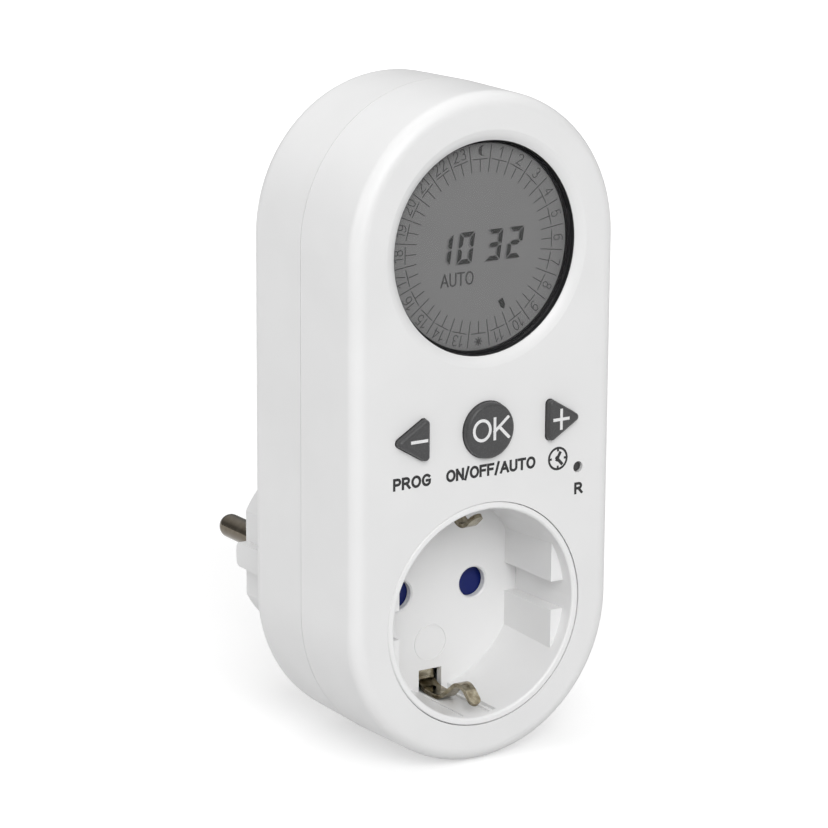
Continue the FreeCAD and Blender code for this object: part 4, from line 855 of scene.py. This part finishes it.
def dress_front():
    """Legends printed on the front face."""
    faces = []
    for text, place, height, width, gap in LEGENDS:
        faces += moved(text_faces(text, height, LEGEND_STROKE, width, gap)[0], *place)
    faces += moved(clock_faces(), *CLOCK_PLACE)
    flat_piece("front_legends", faces, -INK_THICKNESS, INK_THICKNESS, INK_BLACK, "timer")


def dress_key(name, faces, body):
    """White sign on a key's face."""
    flat_piece(name, faces, -KEY_PROUD - INK_THICKNESS, INK_THICKNESS, INK_WHITE, body)


def dress_keys():
    """Minus, OK and plus."""
    bar = ribbon([(-SIGN_WIDTH / 2, 0), (SIGN_WIDTH / 2, 0)], SIGN_STROKE)
    post = ribbon([(0, -PLUS_HEIGHT / 2), (0, PLUS_HEIGHT / 2)], SIGN_STROKE)
    dress_key("minus_legend", moved(bar, -SIGN_X, KEY_Z), "minus_button")
    dress_key("plus_legend", moved(bar + post, SIGN_X, KEY_Z), "plus_button")
    word, width = text_faces("OK", OK_HEIGHT, SIGN_STROKE, OK_WIDTH, OK_GAP)
    centre = (width / 2, OK_HEIGHT / 2)
    dress_key("ok_legend", moved(word, 0, KEY_Z + OK_RISE, 0.0, centre), "ok_button")


# Camera and studio

def add_camera():
    """The photograph's camera."""
    azimuth = math.radians(CAMERA_AZIMUTH)
    elevation = math.radians(CAMERA_ELEVATION)
    roll = math.radians(CAMERA_ROLL)
    back = Vector((math.sin(azimuth) * math.cos(elevation),
                   -math.cos(azimuth) * math.cos(elevation), math.sin(elevation)))
    level = (-back).cross(Vector((0, 0, 1))).normalized()
    rise = level.cross(-back)
    right = level * math.cos(roll) + rise * math.sin(roll)
    up = rise * math.cos(roll) - level * math.sin(roll)
    place = (back * CAMERA_DISTANCE + right * CAMERA_SIDE + up * CAMERA_RISE) * MM
    place.y += FRONT * MM
    data = bpy.data.cameras.new("photo_camera")
    data.sensor_width = SENSOR
    data.lens = FOCAL_PIXELS * SENSOR / IMAGE_PIXELS
    data.clip_start = CLIP_NEAR * MM
    data.clip_end = CLIP_FAR * MM
    camera = bpy.data.objects.new("photo_camera", data)
    camera.matrix_world = Matrix((
        (right.x, up.x, back.x, place.x),
        (right.y, up.y, back.y, place.y),
        (right.z, up.z, back.z, place.z),
        (0, 0, 0, 1),
    ))
    bpy.context.collection.objects.link(camera)
    bpy.context.scene.camera = camera


def add_lamp(name, place, size, power):
    """A soft lamp that faces the object."""
    data = bpy.data.lights.new(name, "AREA")
    data.shape = "RECTANGLE"
    data.size = size[0]
    data.size_y = size[1]
    data.energy = power
    lamp = bpy.data.objects.new(name, data)
    lamp.location = place
    lamp.rotation_euler = (Vector(LAMP_AIM) - Vector(place)).to_track_quat("-Z", "Y").to_euler()
    bpy.context.collection.objects.link(lamp)


def floor_material():
    """Pale floor that also glows for direct views, less so under the object and far off."""
    material, tree, shader = new_material("studio_floor")
    tint(tree, shader, noise(tree, FLOOR_PATCH / MM), grey(FLOOR_WHITE), grey(FLOOR_WHITE * FLOOR_UNEVEN))
    shader.inputs["Roughness"].default_value = FLOOR_ROUGHNESS
    shader.inputs["Specular IOR Level"].default_value = 0.0
    coords = tree.nodes.new("ShaderNodeTexCoord")
    distance = tree.nodes.new("ShaderNodeVectorMath")
    distance.operation = "LENGTH"
    tree.links.new(coords.outputs["Object"], distance.inputs[0])
    rising = spread(tree, distance.outputs["Value"], GLOW_NEAR, GLOW_FAR, *GLOW_RISES)
    fading = spread(tree, distance.outputs["Value"], 1.0, GLOW_RIM, *GLOW_FADES)
    glow = tree.nodes.new("ShaderNodeEmission")
    tree.links.new(calculated(tree, "MULTIPLY", rising, fading), glow.inputs["Strength"])
    dark = tree.nodes.new("ShaderNodeEmission")
    dark.inputs["Strength"].default_value = 0.0
    light = mixed(tree, seen_directly(tree), dark.outputs["Emission"], glow.outputs["Emission"])
    both = tree.nodes.new("ShaderNodeAddShader")
    tree.links.new(shader.outputs["BSDF"], both.inputs[0])
    tree.links.new(light, both.inputs[1])
    tree.links.new(both.outputs["Shader"], tree.nodes["Material Output"].inputs["Surface"])
    return material


def add_floor():
    """A square floor under the object."""
    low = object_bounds()[0].z
    mesh = bpy.data.meshes.new("floor")
    corners = [(-1, -1), (1, -1), (1, 1), (-1, 1)]
    mesh.from_pydata([(x * FLOOR_REACH, y * FLOOR_REACH, low) for x, y in corners], [], [(0, 1, 2, 3)])
    mesh.materials.append(floor_material())
    floor = bpy.data.objects.new("floor", mesh)
    bpy.context.collection.objects.link(floor)


def add_world():
    """Soft light that is strongest from upper left, and a pale backdrop for direct views."""
    world = bpy.data.worlds.new("studio")
    bpy.context.scene.world = world
    world.use_nodes = True
    tree = world.node_tree
    coords = tree.nodes.new("ShaderNodeTexCoord")
    tilt = tree.nodes.new("ShaderNodeVectorMath")
    tilt.operation = "DOT_PRODUCT"
    tilt.inputs[1].default_value = WORLD_AXIS
    tree.links.new(coords.outputs["Generated"], tilt.inputs[0])
    split = tree.nodes.new("ShaderNodeSeparateXYZ")
    tree.links.new(coords.outputs["Generated"], split.inputs["Vector"])
    light = tree.nodes["Background"]
    lit = spread(tree, tilt.outputs["Value"], WORLD_LOW, WORLD_HIGH, *WORLD_RANGE)
    backdrop = tree.nodes.new("ShaderNodeBackground")
    shown = spread(tree, split.outputs["Z"], BACKDROP_LOW, BACKDROP_HIGH, *BACKDROP_RANGE)
    for shader, strength in ((light, lit), (backdrop, shown)):
        shader.inputs["Color"].default_value = (1, 1, 1, 1)
        tree.links.new(strength, shader.inputs["Strength"])
    both = mixed(tree, seen_directly(tree), light.outputs["Background"], backdrop.outputs["Background"])
    tree.links.new(both, tree.nodes["World Output"].inputs["Surface"])


bpy.context.scene.view_settings.view_transform = "Standard"
dress_nodes()
dress_display()
dress_front()
dress_keys()
add_camera()
add_floor()
add_world()
for lamp in LAMPS:
    add_lamp(*lamp)
